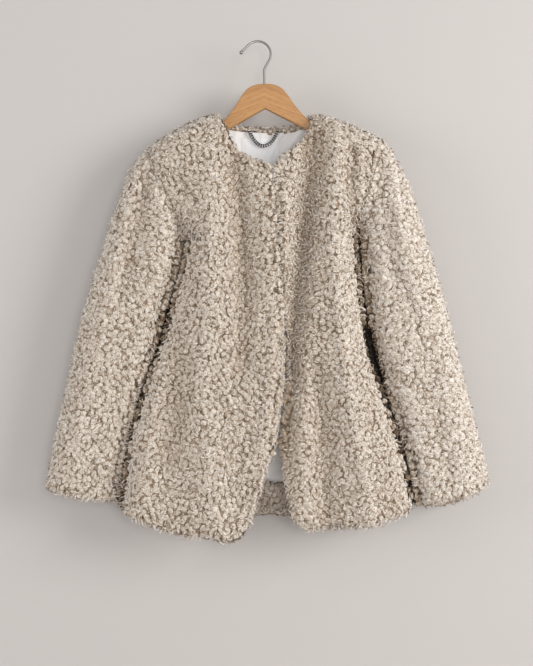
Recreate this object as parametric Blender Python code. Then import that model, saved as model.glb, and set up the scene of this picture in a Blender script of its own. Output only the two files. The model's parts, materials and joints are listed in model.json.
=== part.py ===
"""A collarless, open-fronted coat of curly faux fur, hanging on a wooden hanger.

Lengths are millimetres and are scaled to metres when a mesh is made. +X is to the right of
someone who looks at the coat's front, so the wearer's right front and right sleeve are at -X.
+Y points to the back and +Z up. The origin is the inner top of the hook, where it hangs, and
the hanger lies in the plane y = 0. Every cloth piece is a wall of PILE thickness: its outer
face is where the tips of the pile end, its inner face is the backing.
"""

import math
from typing import NamedTuple

import bmesh
import bpy
from mathutils import Matrix, Vector

MM = 0.001
SAME_POINT = 1e-6
SHARP_ANGLE = math.radians(50)

# Driving dimensions.
PILE = 13.0  # backing and curls together
SEAM_GAP = 0.3  # between two pieces at a seam
SHOULDER_ROUND = 36.0  # height over which the shoulder rounds from its seam to full depth
SIDE_ROUND = 52.0  # width over which a side rounds from its seam to full depth
ROUND_ANGLES = (0, 18, 36, 54, 72, 90)  # degrees round a side, where it has its columns
ROUND_SHRINK = 0.7  # an inner face rounds over less, by this much for each millimetre inwards
INSIDE_SOFTENING = 0.015  # folds are softer inside, by this share for each millimetre inwards
FOLD_FADE = 0.25  # share of a fold's length over which it fades in, and out again
EDGE_ROUND = 7.0  # how far in from a free edge the pile reaches its full thickness
EDGE_LIP = 1.5  # where the rounded free edge has its extra row
LIP_SHARE = 0.62  # share of the thickness left at EDGE_LIP
ARMHOLE_FRONT = 44.0  # half depth of the armhole's oval, to the front
ARMHOLE_BACK = 40.0  # and to the back
ARMHOLE_ROWS = 12  # rows of points down each half of the armhole
ARMHOLE_SHARE = 0.28  # share of a panel's length that lies above the armpit
SIDE_ROWS = 14  # rows from the armpit to the hem
SIDE_LENGTH = 475.0  # from the armpit to the hem
SIDE_CROWDING = 1.8  # more than 1 brings the rows closer together below the armpit
SHOULDER_SHARE = 0.85  # the pile lies flatter on the shoulders, by this share
SHOULDER_LENGTH = 118.0  # of a shoulder seam
FRONT_WIDTH = 190.0  # from the free edge to the side seam
FRONT_COLUMNS = 9  # between a front's free edge and the rounding of its side
SHOULDER_COLUMNS = 3  # of the back, between the rounding of its side and the neck
NECK_COLUMNS = 9  # of the back, across the neck
NECK_SHARE = 0.36  # share of the front's inner edge that lies above the armpit
SLEEVE_RINGS = 19
SLEEVE_LENGTH = 610.0
SLEEVE_SMOOTH = 0.1  # share of a sleeve's length next to the armhole over which its folds begin
SAG_POWER = 6  # how late along a sleeve its hem's sag begins

LINING_WALL = 1.6
LINING_GAP = 1.8  # between the fur's backing and the lining
LINING_TOP_Z = -128.0
LINING_DROP = 9.0  # height of the neck's fur above the lining
LINING_ROW = 42.0  # from one of its rows to the next
LINING_MARGIN = 5  # columns of the back at each side that the lining leaves free
FACING_WALL = 8.0
FACING_TOP_Z = -752.0
FACING_BOTTOM_Z = -803.0
FACING_GAP = 1.0  # between the lining and the facing

HANGER_X = 12.0  # the stem and the middle of the hanger
HANGER_TILT = math.radians(1.5)  # the hanger's left end is a little low
WOOD_THICKNESS = 13.0
WOOD_BEVEL = 2.2
WIRE_RADIUS = 1.95
SOCKET_DEPTH = 16.0
SOCKET_PLAY = 0.4  # between the wire and its socket
SOCKET_FLOOR = 2.0  # between the wire's end and the socket's
CHAIN_Y = 17.2
CHAIN_LINKS = 20


class Row(NamedTuple):
    """Depth of the torso, from the hanger's plane to the tips of the pile."""

    z: float
    front: float
    back: float


DEPTHS = (
    Row(z=-120, front=36, back=40),
    Row(z=-200, front=48, back=42),
    Row(z=-300, front=56, back=45),
    Row(z=-480, front=58, back=46),
    Row(z=-640, front=62, back=50),
    Row(z=-850, front=66, back=54),
)


class Fold(NamedTuple):
    """A soft fold: where it runs, as (x, z) from top to bottom, how far it stands out of the
    panel (less than 0 for a trough), and its half width."""

    path: tuple
    height: float
    width: float


class Section(NamedTuple):
    """A ring of a sleeve: its outer and inner point seen from the front, and its half depths."""

    outer_x: float
    outer_z: float
    inner_x: float
    inner_z: float
    front: float
    back: float


# Outlines, as (x, z) seen from the front.
SHOULDER_RIGHT = ((-70, -120), (-97, -128), (-124, -140), (-152, -157), (-172, -169), (-187, -181))
SHOULDER_LEFT = ((93, -120), (120, -125), (148, -135), (175, -147), (197, -157), (214, -167))
NECK_RIGHT = ((-59, -134), (-49, -154), (-38, -178), (-25, -195), (-4, -204), (20, -213))
NECK_LEFT = ((90, -136), (84, -157), (75, -173), (57, -188), (39, -199), (25, -213))
EDGE_RIGHT = (
    (28, -250), (34, -340), (42, -440), (46, -505), (44, -576), (37, -631), (29, -680),
    (14, -730), (8, -760), (-10, -806),
)
EDGE_LEFT = (
    (31, -250), (37, -340), (45, -440), (49, -505), (48, -576), (42, -631), (37, -680),
    (42, -722), (47, -750), (56, -796),
)
SIDE_RIGHT = (
    (-119, -332), (-124, -370), (-143, -438), (-151, -477), (-163, -515), (-186, -572),
    (-202, -630), (-215, -672), (-221, -712), (-227, -750), (-231, -792),
)
SIDE_LEFT = (
    (168, -312), (169, -353), (172, -387), (176, -438), (181, -482), (188, -526), (204, -569),
    (222, -625), (238, -672), (249, -710), (258, -755), (262, -788),
)
HEM_RIGHT = (
    (-214, -800), (-186, -812), (-160, -821), (-133, -829), (-107, -832), (-81, -832),
    (-58, -838), (-40, -840), (-25, -829),
)
HEM_LEFT = (
    (252, -796), (236, -801), (223, -804), (196, -812), (170, -815), (144, -818), (117, -821),
    (91, -820), (70, -811),
)
HEM_BACK = ((-180, -808), (-110, -820), (-40, -816), (30, -811), (100, -817), (180, -812))
NECK_BACK = ((-56, -127), (-38, -133), (-6, -137), (27, -138), (60, -135), (80, -127))

FOLDS_FRONT = (
    Fold(path=((-80, -190), (-76, -440), (-86, -600), (-62, -960)), height=9, width=30),
    Fold(path=((-28, -180), (-20, -300), (-10, -470)), height=-11, width=15),
    Fold(path=((12, -215), (26, -440), (34, -560), (20, -720)), height=7.5, width=17),
    Fold(path=((-128, -480), (-146, -650), (-150, -960)), height=-9, width=26),
    Fold(path=((-196, -640), (-204, -980)), height=5, width=20),
    Fold(path=((-24, -640), (-14, -980)), height=-6, width=16),
    Fold(path=((104, -150), (88, -270), (66, -440), (52, -600), (36, -720)), height=-14, width=16),
    Fold(path=((50, -215), (44, -330), (56, -430)), height=5, width=13),
    Fold(path=((134, -180), (138, -440), (156, -600), (206, -960)), height=11, width=26),
    Fold(path=((92, -520), (108, -640), (120, -960)), height=-9, width=22),
    Fold(path=((76, -560), (70, -960)), height=7, width=18),
    Fold(path=((172, -400), (186, -600), (232, -900)), height=-4, width=12),
)
FOLDS_BACK = (
    Fold(path=((-100, -200), (-112, -480), (-140, -980)), height=8, width=28),
    Fold(path=((-40, -260), (-52, -520), (-70, -980)), height=-9, width=24),
    Fold(path=((24, -330), (18, -560), (6, -980)), height=7, width=26),
    Fold(path=((84, -240), (92, -500), (96, -980)), height=-8, width=22),
    Fold(path=((140, -210), (156, -480), (186, -980)), height=7, width=26),
    Fold(path=((-10, -150), (4, -240), (10, -300)), height=-4, width=40),
)

SLEEVE_RIGHT = (
    Section(-187, -181, -119, -332, 44, 40),
    Section(-203, -196, -123, -337, 47, 43),
    Section(-217, -219, -125.5, -345, 49, 45),
    Section(-232, -256, -128, -358, 51, 46),
    Section(-249, -304, -132, -381, 52, 47),
    Section(-267, -363, -140, -412, 52, 47),
    Section(-286, -422, -154, -452, 50, 46),
    Section(-305, -491, -172, -522, 48, 45),
    Section(-321, -567, -197, -594, 46, 43),
    Section(-338, -642, -216, -668, 44, 42),
    Section(-353, -715, -230, -740, 43, 41),
    Section(-361, -756, -234, -779, 42, 40),
)
SLEEVE_LEFT = (
    Section(214, -167, 168, -312, 44, 40),
    Section(229, -183, 173, -317, 47, 43),
    Section(240, -205, 175.5, -325, 49, 45),
    Section(256.5, -236, 177, -338, 51, 46),
    Section(272, -280, 178, -360, 52, 47),
    Section(288.5, -336, 180, -394, 52, 47),
    Section(308, -398, 185, -438, 50, 46),
    Section(328, -471, 195, -505, 48, 45),
    Section(347, -549, 215, -578, 46, 43),
    Section(366, -627, 237, -652, 44, 42),
    Section(386, -702, 258, -732, 43, 41),
    Section(395, -748, 269, -786, 42, 40),
)


SLEEVE_RIGHT_SAG = 3.0  # of its hem, at the middle of its front and back
SLEEVE_LEFT_SAG = 11.0


class SleeveFold(NamedTuple):
    """A fold along a sleeve: its angle round the ring in degrees (0 at the outer side, 90 to the
    front) at its start and its end, the shares of the sleeve's length where it starts and ends,
    its height and its half width in degrees."""

    start_angle: float
    end_angle: float
    start: float
    end: float
    height: float
    width: float


FOLDS_SLEEVE_RIGHT = (
    SleeveFold(start_angle=70, end_angle=95, start=0.10, end=0.62, height=-7, width=20),
    SleeveFold(start_angle=125, end_angle=130, start=0.05, end=0.50, height=5, width=20),
    SleeveFold(start_angle=55, end_angle=60, start=0.35, end=1.30, height=5, width=24),
    SleeveFold(start_angle=100, end_angle=105, start=0.55, end=1.30, height=-4, width=18),
    SleeveFold(start_angle=250, end_angle=262, start=0.10, end=0.80, height=-7, width=22),
    SleeveFold(start_angle=295, end_angle=285, start=0.30, end=1.30, height=5, width=24),
)
FOLDS_SLEEVE_LEFT = (
    SleeveFold(start_angle=125, end_angle=115, start=0.02, end=0.45, height=-8, width=20),
    SleeveFold(start_angle=70, end_angle=75, start=0.05, end=0.70, height=6, width=26),
    SleeveFold(start_angle=105, end_angle=95, start=0.40, end=1.30, height=-5, width=18),
    SleeveFold(start_angle=130, end_angle=135, start=0.50, end=1.30, height=4, width=18),
    SleeveFold(start_angle=235, end_angle=255, start=0.05, end=0.75, height=-7, width=22),
    SleeveFold(start_angle=290, end_angle=280, start=0.25, end=1.30, height=5, width=24),
)

# Half of the hanger's outline from its middle, as (distance from the middle, z).
WOOD_TOP = (
    (0, -71), (12, -72), (23, -75.5), (31, -81), (40, -92), (48.5, -105), (57, -116.5), (67, -128),
    (82, -140.5), (130, -159), (172, -174.5),
)
WOOD_TIP = ((182, -179), (185, -185), (181, -190))
WOOD_BOTTOM = ((172, -189), (130, -175), (82, -157), (60, -145.5), (0, -113))

HOOK_CENTRE = (0.8, -20.2)
HOOK_RADIUS = 22.2
HOOK_ARC = (-35, 130)  # degrees, from where it leaves the stem to where it straightens
HOOK_TIP = (-29.5, -19.5)
BALL_RADIUS = 3.4
STEM_HEIGHTS = (-70.0, -58.0, -46.0)  # of the points of the straight stem above the wood
HOOK_ARC_POINTS = 12
HOOK_RINGS = 34
BALL_START = 1.9  # ball radii from the tip, where the wire ends
BALL_RINGS = (-0.85, -0.5, 0.0, 0.5, 0.85, 0.985)  # places along the ball, in its radii

CHAIN_ENDS = ((-14.0, -146.0), (35.0, -148.0))
CHAIN_BOTTOM_Z = -173.0
CHAIN_THICK = 2.3
CHAIN_THIN = 1.5

# Colour, roughness and metallic value of each material.
FINISHES = {
    "faux_fur": ((0.47, 0.39, 0.31), 0.95, 0.0),
    "satin_lining": ((0.72, 0.70, 0.70), 0.45, 0.0),
    "beech": ((0.56, 0.30, 0.14), 0.45, 0.0),
    "polished_steel": ((0.62, 0.61, 0.60), 0.22, 1.0),
    "chain_steel": ((0.30, 0.29, 0.28), 0.30, 1.0),
}


def smoothstep(x):
    x = min(max(x, 0.0), 1.0)
    return x * x * (3 - 2 * x)


def catmull_rom(a, b, c, d, t):
    """The point at t from b to c of a smooth curve through four values."""
    squared = 2 * a - 5 * b + 4 * c - d
    cubed = 3 * b - a - 3 * c + d
    return 0.5 * (2 * b + (c - a) * t + squared * t**2 + cubed * t**3)


def smooth_line(points, steps=10):
    """A dense line through the points, curving smoothly."""
    points = [Vector(p) for p in points]
    padded = [2 * points[0] - points[1], *points, 2 * points[-1] - points[-2]]
    line = []
    for a, b, c, d in zip(padded, padded[1:], padded[2:], padded[3:]):
        line += [catmull_rom(a, b, c, d, i / steps) for i in range(steps)]
    return [*line, points[-1]]


def along(line, shares):
    """Points of the line at these shares of its length."""
    lengths = [0.0]
    for a, b in zip(line, line[1:]):
        lengths.append(lengths[-1] + (b - a).length)
    found = []
    for share in shares:
        wanted = min(max(share, 0.0), 1.0) * lengths[-1]
        i = 0
        while i < len(line) - 2 and lengths[i + 1] < wanted:
            i += 1
        share_of_step = (wanted - lengths[i]) / (lengths[i + 1] - lengths[i])
        found.append(line[i].lerp(line[i + 1], share_of_step))
    return found


def table_value(rows, z, column):
    """A column of a table of rows that go down in z, read at this z."""
    if z >= rows[0].z:
        return getattr(rows[0], column)
    for upper, lower in zip(rows, rows[1:]):
        if z >= lower.z:
            share = smoothstep((upper.z - z) / (upper.z - lower.z))
            return getattr(upper, column) * (1 - share) + getattr(lower, column) * share
    return getattr(rows[-1], column)


def fold_relief(folds, x, z):
    """How far the folds lift the panel at this place. Each fades in and out at its ends."""
    relief = 0.0
    for fold in folds:
        top, bottom = fold.path[0][1], fold.path[-1][1]
        share = (top - z) / (top - bottom)
        if not 0 < share < 1:
            continue
        for (x0, z0), (x1, z1) in zip(fold.path, fold.path[1:]):
            if z >= z1:
                centre = x0 + (x1 - x0) * (z0 - z) / (z0 - z1)
                break
        fade = smoothstep(share / FOLD_FADE) * smoothstep((1 - share) / FOLD_FADE)
        relief += fold.height * fade * math.exp(-(((x - centre) / fold.width) ** 2))
    return relief


def shoulder_height(x, inset):
    """The height over this x of the shoulder line on a face this far in."""
    drop = inset * SHOULDER_SHARE
    line = [*reversed(SHOULDER_RIGHT), *SHOULDER_LEFT]
    if x <= line[0][0]:
        return line[0][1] - drop
    for (x0, z0), (x1, z1) in zip(line, line[1:]):
        if x <= x1:
            return z0 + (z1 - z0) * (x - x0) / (x1 - x0) - drop
    return line[-1][1] - drop


def lowered(points, inset):
    """Points of the neck's edge on a face this far in: lower where the panel faces up, at the
    shoulders, and in place where it faces the front or the back."""
    found = []
    for p in points:
        facing_up = 1 - rounded(shoulder_height(p.x, 0) - p.y, SHOULDER_ROUND)
        found.append(p - Vector((0, inset * SHOULDER_SHARE * facing_up)))
    return found


def armhole_shares():
    """Where the rows meet the armhole, from its top to the armpit. They are evenly spaced round
    its oval, whose half depth is the sine beside each share."""
    angles = [math.pi * i / ARMHOLE_ROWS for i in range(ARMHOLE_ROWS + 1)]
    return [(1 - math.cos(a)) / 2 for a in angles], [math.sin(a) for a in angles]


def edge_shares():
    """Where the rows above the armpit meet an edge that the armhole faces, as shares of the part
    of that edge that lies above the armpit."""
    return [1 - math.cos(math.pi / 2 * i / ARMHOLE_ROWS) for i in range(ARMHOLE_ROWS + 1)]


def free_edge_shares(length):
    """The first places in from a free edge of a panel of this length, as shares of it."""
    return [0.0, EDGE_LIP / length, EDGE_ROUND / length]


def seam_shares():
    """How far down the side seam each row lies. The first ones are close together, where the wall
    turns under the arm."""
    _, lip, rounded_in = free_edge_shares(SIDE_LENGTH)
    plain = SIDE_ROWS - 2
    shares = [(1 - rounded_in) * (i / plain) ** SIDE_CROWDING for i in range(1, plain + 1)]
    return [*shares, 1 - lip, 1.0]


def side_boundary(shoulder, side, inset):
    """The points down a panel's outer edge: the armhole, then the side seam to the hem. The inner
    face's edge lies the wall's thickness further in."""
    tip, armpit = Vector(shoulder[-1]), Vector(side[0])
    inward = 1 if armpit.x < 0 else -1
    down = (armpit - tip).normalized()
    shares, _ = armhole_shares()
    points = [(tip + down * inset).lerp(armpit - down * inset, s) for s in shares]
    seam = along(smooth_line(side), seam_shares())
    return points + [p + Vector((inward * inset, 0)) for p in seam]


def row_shares():
    """How far down the panel each row lies, from 0 at the shoulder to 1 at the hem."""
    above = [ARMHOLE_SHARE * s for s in edge_shares()]
    return above + [ARMHOLE_SHARE + (1 - ARMHOLE_SHARE) * s for s in seam_shares()]


def coons(top, bottom, left, right, across, down):
    """A grid of points between four edges, by rows. All edges are already lists of points."""
    grid = []
    for j, v in enumerate(down):
        row = []
        for k, u in enumerate(across):
            ruled = top[k] * (1 - v) + bottom[k] * v + left[j] * (1 - u) + right[j] * u
            upper = top[0] * (1 - u) + top[-1] * u
            lower = bottom[0] * (1 - u) + bottom[-1] * u
            row.append(ruled - upper * (1 - v) - lower * v)
        grid.append(row)
    return grid


def rounded(distance, reach):
    """The square of how far a quarter ellipse has risen at this distance from its end."""
    return 1 - (1 - min(max(distance / reach, 0.0), 1.0)) ** 2


def drawn_to(points, shares, corner):
    """The points moved so that the last one, where the share is 1, is at the corner."""
    last = max(range(len(shares)), key=lambda i: shares[i])
    short = corner - points[last]
    return [p + short * share for p, share in zip(points, shares)]


def shoulder_seam(shoulder, shares, inset, corner):
    """Points along the shoulder seam on a face this far in. They end in the armhole's corner."""
    points = [p - Vector((0, inset * SHOULDER_SHARE)) for p in along(smooth_line(shoulder), shares)]
    return drawn_to(points, shares, corner)


def panel_depth(flat, edge_distance, edge_depth, inset, to_front):
    """How far from the hanger's plane a point of a body panel lies."""
    x, z = flat
    whole = table_value(DEPTHS, z, "front" if to_front else "back") - inset
    over = rounded(shoulder_height(x, inset) - z, SHOULDER_ROUND - ROUND_SHRINK * inset)
    side = rounded(edge_distance, SIDE_ROUND - ROUND_SHRINK * inset)
    squared = edge_depth**2 * (1 - side) + whole**2 * over * side
    relief = fold_relief(FOLDS_FRONT if to_front else FOLDS_BACK, x, z)
    softer_inside = 1 - INSIDE_SOFTENING * inset
    return math.sqrt(max(squared, 0.0)) + relief * over * side * softer_inside


def armhole_depths(inset, to_front):
    """The half depth of a panel's outer edge at each row: the armhole's oval, then the seam."""
    _, sines = armhole_shares()
    deepest = (ARMHOLE_FRONT if to_front else ARMHOLE_BACK) - inset
    return [deepest * s for s in sines] + [0.0] * SIDE_ROWS


def round_shares(width):
    """Where the rounding of a side has its columns, as shares of this width."""
    return [(1 - math.cos(math.radians(a))) * SIDE_ROUND / width for a in ROUND_ANGLES]


def front_face(shoulder, neck, edge, side, hem, inset):
    """One face of a front, by rows from the shoulder seam to the hem and from the free edge to the
    side. The outer face has no inset."""
    near_side = [1 - share for share in reversed(round_shares(FRONT_WIDTH))]
    start = free_edge_shares(FRONT_WIDTH)
    step = (near_side[0] - start[-1]) / FRONT_COLUMNS
    plain = [start[-1] + step * i for i in range(1, FRONT_COLUMNS)]
    across = start + plain + near_side
    down = row_shares()
    right = side_boundary(shoulder, side, inset)
    top = shoulder_seam(shoulder, across, inset, right[0])
    bottom = along(smooth_line((edge[-1], *reversed(hem), side[-1])), across)
    bottom = drawn_to(bottom, across, right[-1])
    inner_line = smooth_line((shoulder[0], *neck, *edge))
    inner_shares = [NECK_SHARE * s for s in edge_shares()]
    inner_shares += [NECK_SHARE + (1 - NECK_SHARE) * s for s in seam_shares()]
    left = lowered(along(inner_line, inner_shares), inset)
    grid = coons(top, bottom, left, right, across, down)
    depths = armhole_depths(inset, True)
    face = []
    for row, edge_depth in zip(grid, depths):
        face.append([])
        for p in row:
            depth = panel_depth(p, (row[-1] - p).length, edge_depth, inset, True)
            face[-1].append(Vector((p.x, -depth - SEAM_GAP / 2, p.y)))
    for p in face[0]:
        p.y = -SEAM_GAP / 2
    return face


def back_face(inset):
    """One face of the back, by rows from the top to the hem and from the right side to the left.
    Columns meet the corners where the shoulder seams end and the neck begins."""
    seam = round_shares(SHOULDER_LENGTH)
    step = (1 - seam[-1]) / SHOULDER_COLUMNS
    seam += [seam[-1] + step * i for i in range(1, SHOULDER_COLUMNS + 1)]
    out = [1 - s for s in seam]
    left = side_boundary(SHOULDER_RIGHT, SIDE_RIGHT, inset)
    right = side_boundary(SHOULDER_LEFT, SIDE_LEFT, inset)
    neck_line = smooth_line((SHOULDER_RIGHT[0], *NECK_BACK, SHOULDER_LEFT[0]))
    neck = lowered(along(neck_line, [i / NECK_COLUMNS for i in range(1, NECK_COLUMNS)]), inset)
    top = shoulder_seam(SHOULDER_RIGHT, out, inset, left[0])
    top += neck + shoulder_seam(SHOULDER_LEFT, out[::-1], inset, right[0])
    span = top[-1].x - top[0].x
    across = [(p.x - top[0].x) / span for p in top]
    down = row_shares()
    bottom = along(smooth_line((SIDE_RIGHT[-1], *HEM_BACK, SIDE_LEFT[-1])), across)
    bottom = drawn_to(bottom, across, right[-1])
    bottom = drawn_to(bottom, [1 - share for share in across], left[-1])
    grid = coons(top, bottom, left, right, across, down)
    depths = armhole_depths(inset, False)
    free = range(len(seam), len(seam) + NECK_COLUMNS - 1)
    face = []
    for row, edge_depth in zip(grid, depths):
        face.append([])
        for p in row:
            from_side = min((p - row[0]).length, (row[-1] - p).length)
            depth = panel_depth(p, from_side, edge_depth, inset, False)
            face[-1].append(Vector((p.x, depth + SEAM_GAP / 2, p.y)))
    for k, p in enumerate(face[0]):
        if k not in free:
            p.y = SEAM_GAP / 2
    return face, free


def sleeve_value(sections, share, column):
    """A column of a sleeve's table, read smoothly at a share of its length."""
    place = share * (len(sections) - 1)
    i = min(int(place), len(sections) - 2)
    values = [getattr(s, column) for s in sections]
    values = [2 * values[0] - values[1], *values, 2 * values[-1] - values[-2]]
    return catmull_rom(*values[i : i + 4], place - i)


def sleeve_relief(folds, angle, share):
    """How far the folds lift the sleeve at this angle, in degrees, and share of its length."""
    relief = 0.0
    for fold in folds:
        run = (share - fold.start) / (fold.end - fold.start)
        if 0 < run < 1:
            centre = fold.start_angle + (fold.end_angle - fold.start_angle) * run
            fade = smoothstep(run / FOLD_FADE) * smoothstep((1 - run) / FOLD_FADE)
            relief += fold.height * fade * math.exp(-(((angle - centre) / fold.width) ** 2))
    return relief * smoothstep(share / SLEEVE_SMOOTH)


def sleeve_face(sections, folds, sag, inset):
    """One face of a sleeve, by rings from the armhole to the hem, which sags by this much."""
    side = 1 if sections[0].outer_x > 0 else -1
    _, lip, rounded_in = free_edge_shares(SLEEVE_LENGTH)
    plain = SLEEVE_RINGS - 3
    shares = [(1 - rounded_in) * i / plain for i in range(plain + 1)] + [1 - lip, 1.0]
    first_outer = Vector((sections[0].outer_x, 0, sections[0].outer_z))
    first_inner = Vector((sections[0].inner_x, 0, sections[0].inner_z))
    along_armhole = (first_inner - first_outer).normalized()
    away = Vector((-along_armhole.z, 0, along_armhole.x)) * side * SEAM_GAP
    face = []
    for share in shares:
        value = {c: sleeve_value(sections, share, c) for c in Section._fields}
        outer = Vector((value["outer_x"], 0, value["outer_z"]))
        inner = Vector((value["inner_x"], 0, value["inner_z"]))
        across = (inner - outer).normalized()
        outer, inner = outer + across * inset, inner - across * inset
        middle, half = (outer + inner) / 2, (inner - outer) / 2
        ring = []
        for i in range(2 * ARMHOLE_ROWS):
            angle = math.pi * i / ARMHOLE_ROWS
            to_front = angle < math.pi
            depth = value["front" if to_front else "back"] - inset
            lift = sleeve_relief(folds, math.degrees(angle), share)
            depth += lift * (1 - INSIDE_SOFTENING * inset)
            sine = math.sin(angle)
            gap = math.copysign(SEAM_GAP / 2, sine) if i % ARMHOLE_ROWS else 0.0
            moved = Vector((0, -sine * depth - gap, -sag * share**SAG_POWER * sine**2))
            ring.append(middle - half * math.cos(angle) + moved + away)
        face.append(ring)
    return face


def thickened(outer, inner, row_weights, column_weights):
    """The two faces drawn together towards their middle near free edges, by the weights of their
    rows and columns: 1 is the full wall and 0 is the edge itself, where both faces share a point."""
    faces = [], []
    for j, (out_row, in_row) in enumerate(zip(outer, inner)):
        for face in faces:
            face.append([])
        for k, (a, b) in enumerate(zip(out_row, in_row)):
            middle = (a + b) / 2
            weight = min(row_weights[j], column_weights[k])
            faces[0][-1].append(middle + (a - middle) * weight)
            faces[1][-1].append(middle + (b - middle) * weight)
    return faces


def wall_object(name, outer, inner, material, wraps=False):
    """A closed solid between two grids of points. Where they share a point, the wall ends there."""
    bm = bmesh.new()
    rows, columns = len(outer), len(outer[0])
    out = [[bm.verts.new(p * MM) for p in row] for row in outer]

    def inner_vertex(j, k):
        if (inner[j][k] - outer[j][k]).length < SAME_POINT:
            return out[j][k]
        return bm.verts.new(inner[j][k] * MM)

    back = [[inner_vertex(j, k) for k in range(columns)] for j in range(rows)]

    def face(*corners):
        corners = list(dict.fromkeys(corners))
        if len(corners) > 2:
            bm.faces.new(corners)

    steps = range(columns if wraps else columns - 1)
    for j in range(rows - 1):
        for k in steps:
            n = (k + 1) % columns
            face(out[j][k], out[j + 1][k], out[j + 1][n], out[j][n])
            face(back[j][k], back[j][n], back[j + 1][n], back[j + 1][k])
    for k in steps:
        n = (k + 1) % columns
        for j, order in ((0, 1), (rows - 1, -1)):
            face(*(out[j][k], out[j][n], back[j][n], back[j][k])[::order])
    if not wraps:
        for j in range(rows - 1):
            for k, order in ((0, -1), (columns - 1, 1)):
                face(*(out[j][k], out[j + 1][k], back[j + 1][k], back[j][k])[::-order])
    bmesh.ops.recalc_face_normals(bm, faces=bm.faces)
    return mesh_object(name, bm, material)


def mesh_object(name, bm, material):
    """A scene object from a bmesh, shaded smooth but for its sharp edges."""
    mesh = bpy.data.meshes.new(name)
    bm.to_mesh(mesh)
    bm.free()
    mesh.materials.append(bpy.data.materials[material])
    mesh.shade_smooth()
    mesh.set_sharp_from_angle(angle=SHARP_ANGLE)
    obj = bpy.data.objects.new(name, mesh)
    bpy.context.scene.collection.objects.link(obj)
    return obj


def edge_weights(count, at_start, at_end):
    """Weights of rows or columns for thickened, with a rounded edge at either end or both."""
    weights = [1.0] * count
    if at_start:
        weights[0], weights[1] = 0.0, LIP_SHARE
    if at_end:
        weights[-1], weights[-2] = 0.0, LIP_SHARE
    return weights


def make_front(name, shoulder, neck, edge, side, hem):
    outer = front_face(shoulder, neck, edge, side, hem, 0.0)
    inner = front_face(shoulder, neck, edge, side, hem, PILE)
    rows = edge_weights(len(outer), False, True)
    columns = edge_weights(len(outer[0]), True, False)
    return wall_object(name, *thickened(outer, inner, rows, columns), "faux_fur")


def make_back():
    outer, free = back_face(0.0)
    inner, _ = back_face(PILE)
    rows = edge_weights(len(outer), False, True)
    outer, inner = thickened(outer, inner, rows, [1.0] * len(outer[0]))
    for k in free:
        outer[0][k] = (outer[0][k] + inner[0][k]) / 2
        inner[0][k] = outer[0][k]
    return wall_object("back", outer, inner, "faux_fur")


def make_sleeve(name, sections, folds, sag):
    outer = sleeve_face(sections, folds, sag, 0.0)
    inner = sleeve_face(sections, folds, sag, PILE)
    rows = edge_weights(len(outer), False, True)
    outer, inner = thickened(outer, inner, rows, [1.0] * len(outer[0]))
    return wall_object(name, outer, inner, "faux_fur", wraps=True)


def make_on_back(name, wall, highest, lowest, material):
    """A piece that lies on the inside of the back, made from the back's own inner points moved out
    towards the front, between two heights. It leaves the rounded sides free."""
    near, _ = back_face(PILE + LINING_GAP)
    far, _ = back_face(PILE + LINING_GAP + wall)
    columns = range(LINING_MARGIN, len(near[0]) - LINING_MARGIN)

    def at_height(face, k, z):
        for upper, lower in zip(face, face[1:]):
            if lower[k].z <= z:
                share = min(max((upper[k].z - z) / (upper[k].z - lower[k].z), 0.0), 1.0)
                return upper[k].lerp(lower[k], share)
        return face[-1][k]

    rows = max(3, round((highest - lowest) / LINING_ROW))
    outer, inner = [], []
    for j in range(rows + 1):
        share = j / rows
        outer.append([])
        inner.append([])
        for k in columns:
            top = min(highest, near[0][k].z - LINING_DROP)
            z = top + (lowest - top) * share
            outer[-1].append(at_height(near, k, z))
            inner[-1].append(at_height(far, k, z))
    return wall_object(name, outer, inner, material)


def make_wood():
    half = smooth_line(WOOD_TOP, 3) + smooth_line((WOOD_TOP[-1], *WOOD_TIP, WOOD_BOTTOM[0]), 2)[1:-1]
    half += [Vector(p) for p in WOOD_BOTTOM]
    outline = half + [Vector((-p.x, p.y)) for p in reversed(half[1:-1])]
    bm = bmesh.new()
    front = [bm.verts.new(Vector((p.x, -WOOD_THICKNESS / 2, p.y)) * MM) for p in outline]
    sheet = bm.faces.new(front)
    moved = bmesh.ops.extrude_face_region(bm, geom=[sheet])["geom"]
    bmesh.ops.translate(
        bm,
        verts=[v for v in moved if isinstance(v, bmesh.types.BMVert)],
        vec=Vector((0, WOOD_THICKNESS * MM, 0)),
    )
    bmesh.ops.recalc_face_normals(bm, faces=bm.faces)
    rim = [e for e in bm.edges if abs(e.verts[0].co.y - e.verts[1].co.y) < 1e-9]
    bmesh.ops.bevel(bm, geom=rim, offset=WOOD_BEVEL * MM, segments=2, profile=0.5, affect="EDGES")
    top = Vector((0, 0, WOOD_TOP[0][1] * MM))
    turn = Matrix.Translation(top) @ Matrix.Rotation(-HANGER_TILT, 4, "Y") @ Matrix.Translation(-top)
    bmesh.ops.transform(bm, matrix=Matrix.Translation((HANGER_X * MM, 0, 0)) @ turn, verts=bm.verts)
    wood = mesh_object("hanger_wood", bm, "beech")

    bm = bmesh.new()
    bmesh.ops.create_cone(
        bm,
        cap_ends=True,
        segments=16,
        radius1=(WIRE_RADIUS + SOCKET_PLAY) * MM,
        radius2=(WIRE_RADIUS + SOCKET_PLAY) * MM,
        depth=2 * SOCKET_DEPTH * MM,
    )
    socket = mesh_object("socket_cutter", bm, "beech")
    socket.location = (HANGER_X * MM, 0, WOOD_TOP[0][1] * MM)
    socket.hide_render = True
    socket.display_type = "WIRE"
    cut = wood.modifiers.new("socket", "BOOLEAN")
    cut.operation = "DIFFERENCE"
    cut.object = socket
    return wood


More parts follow.
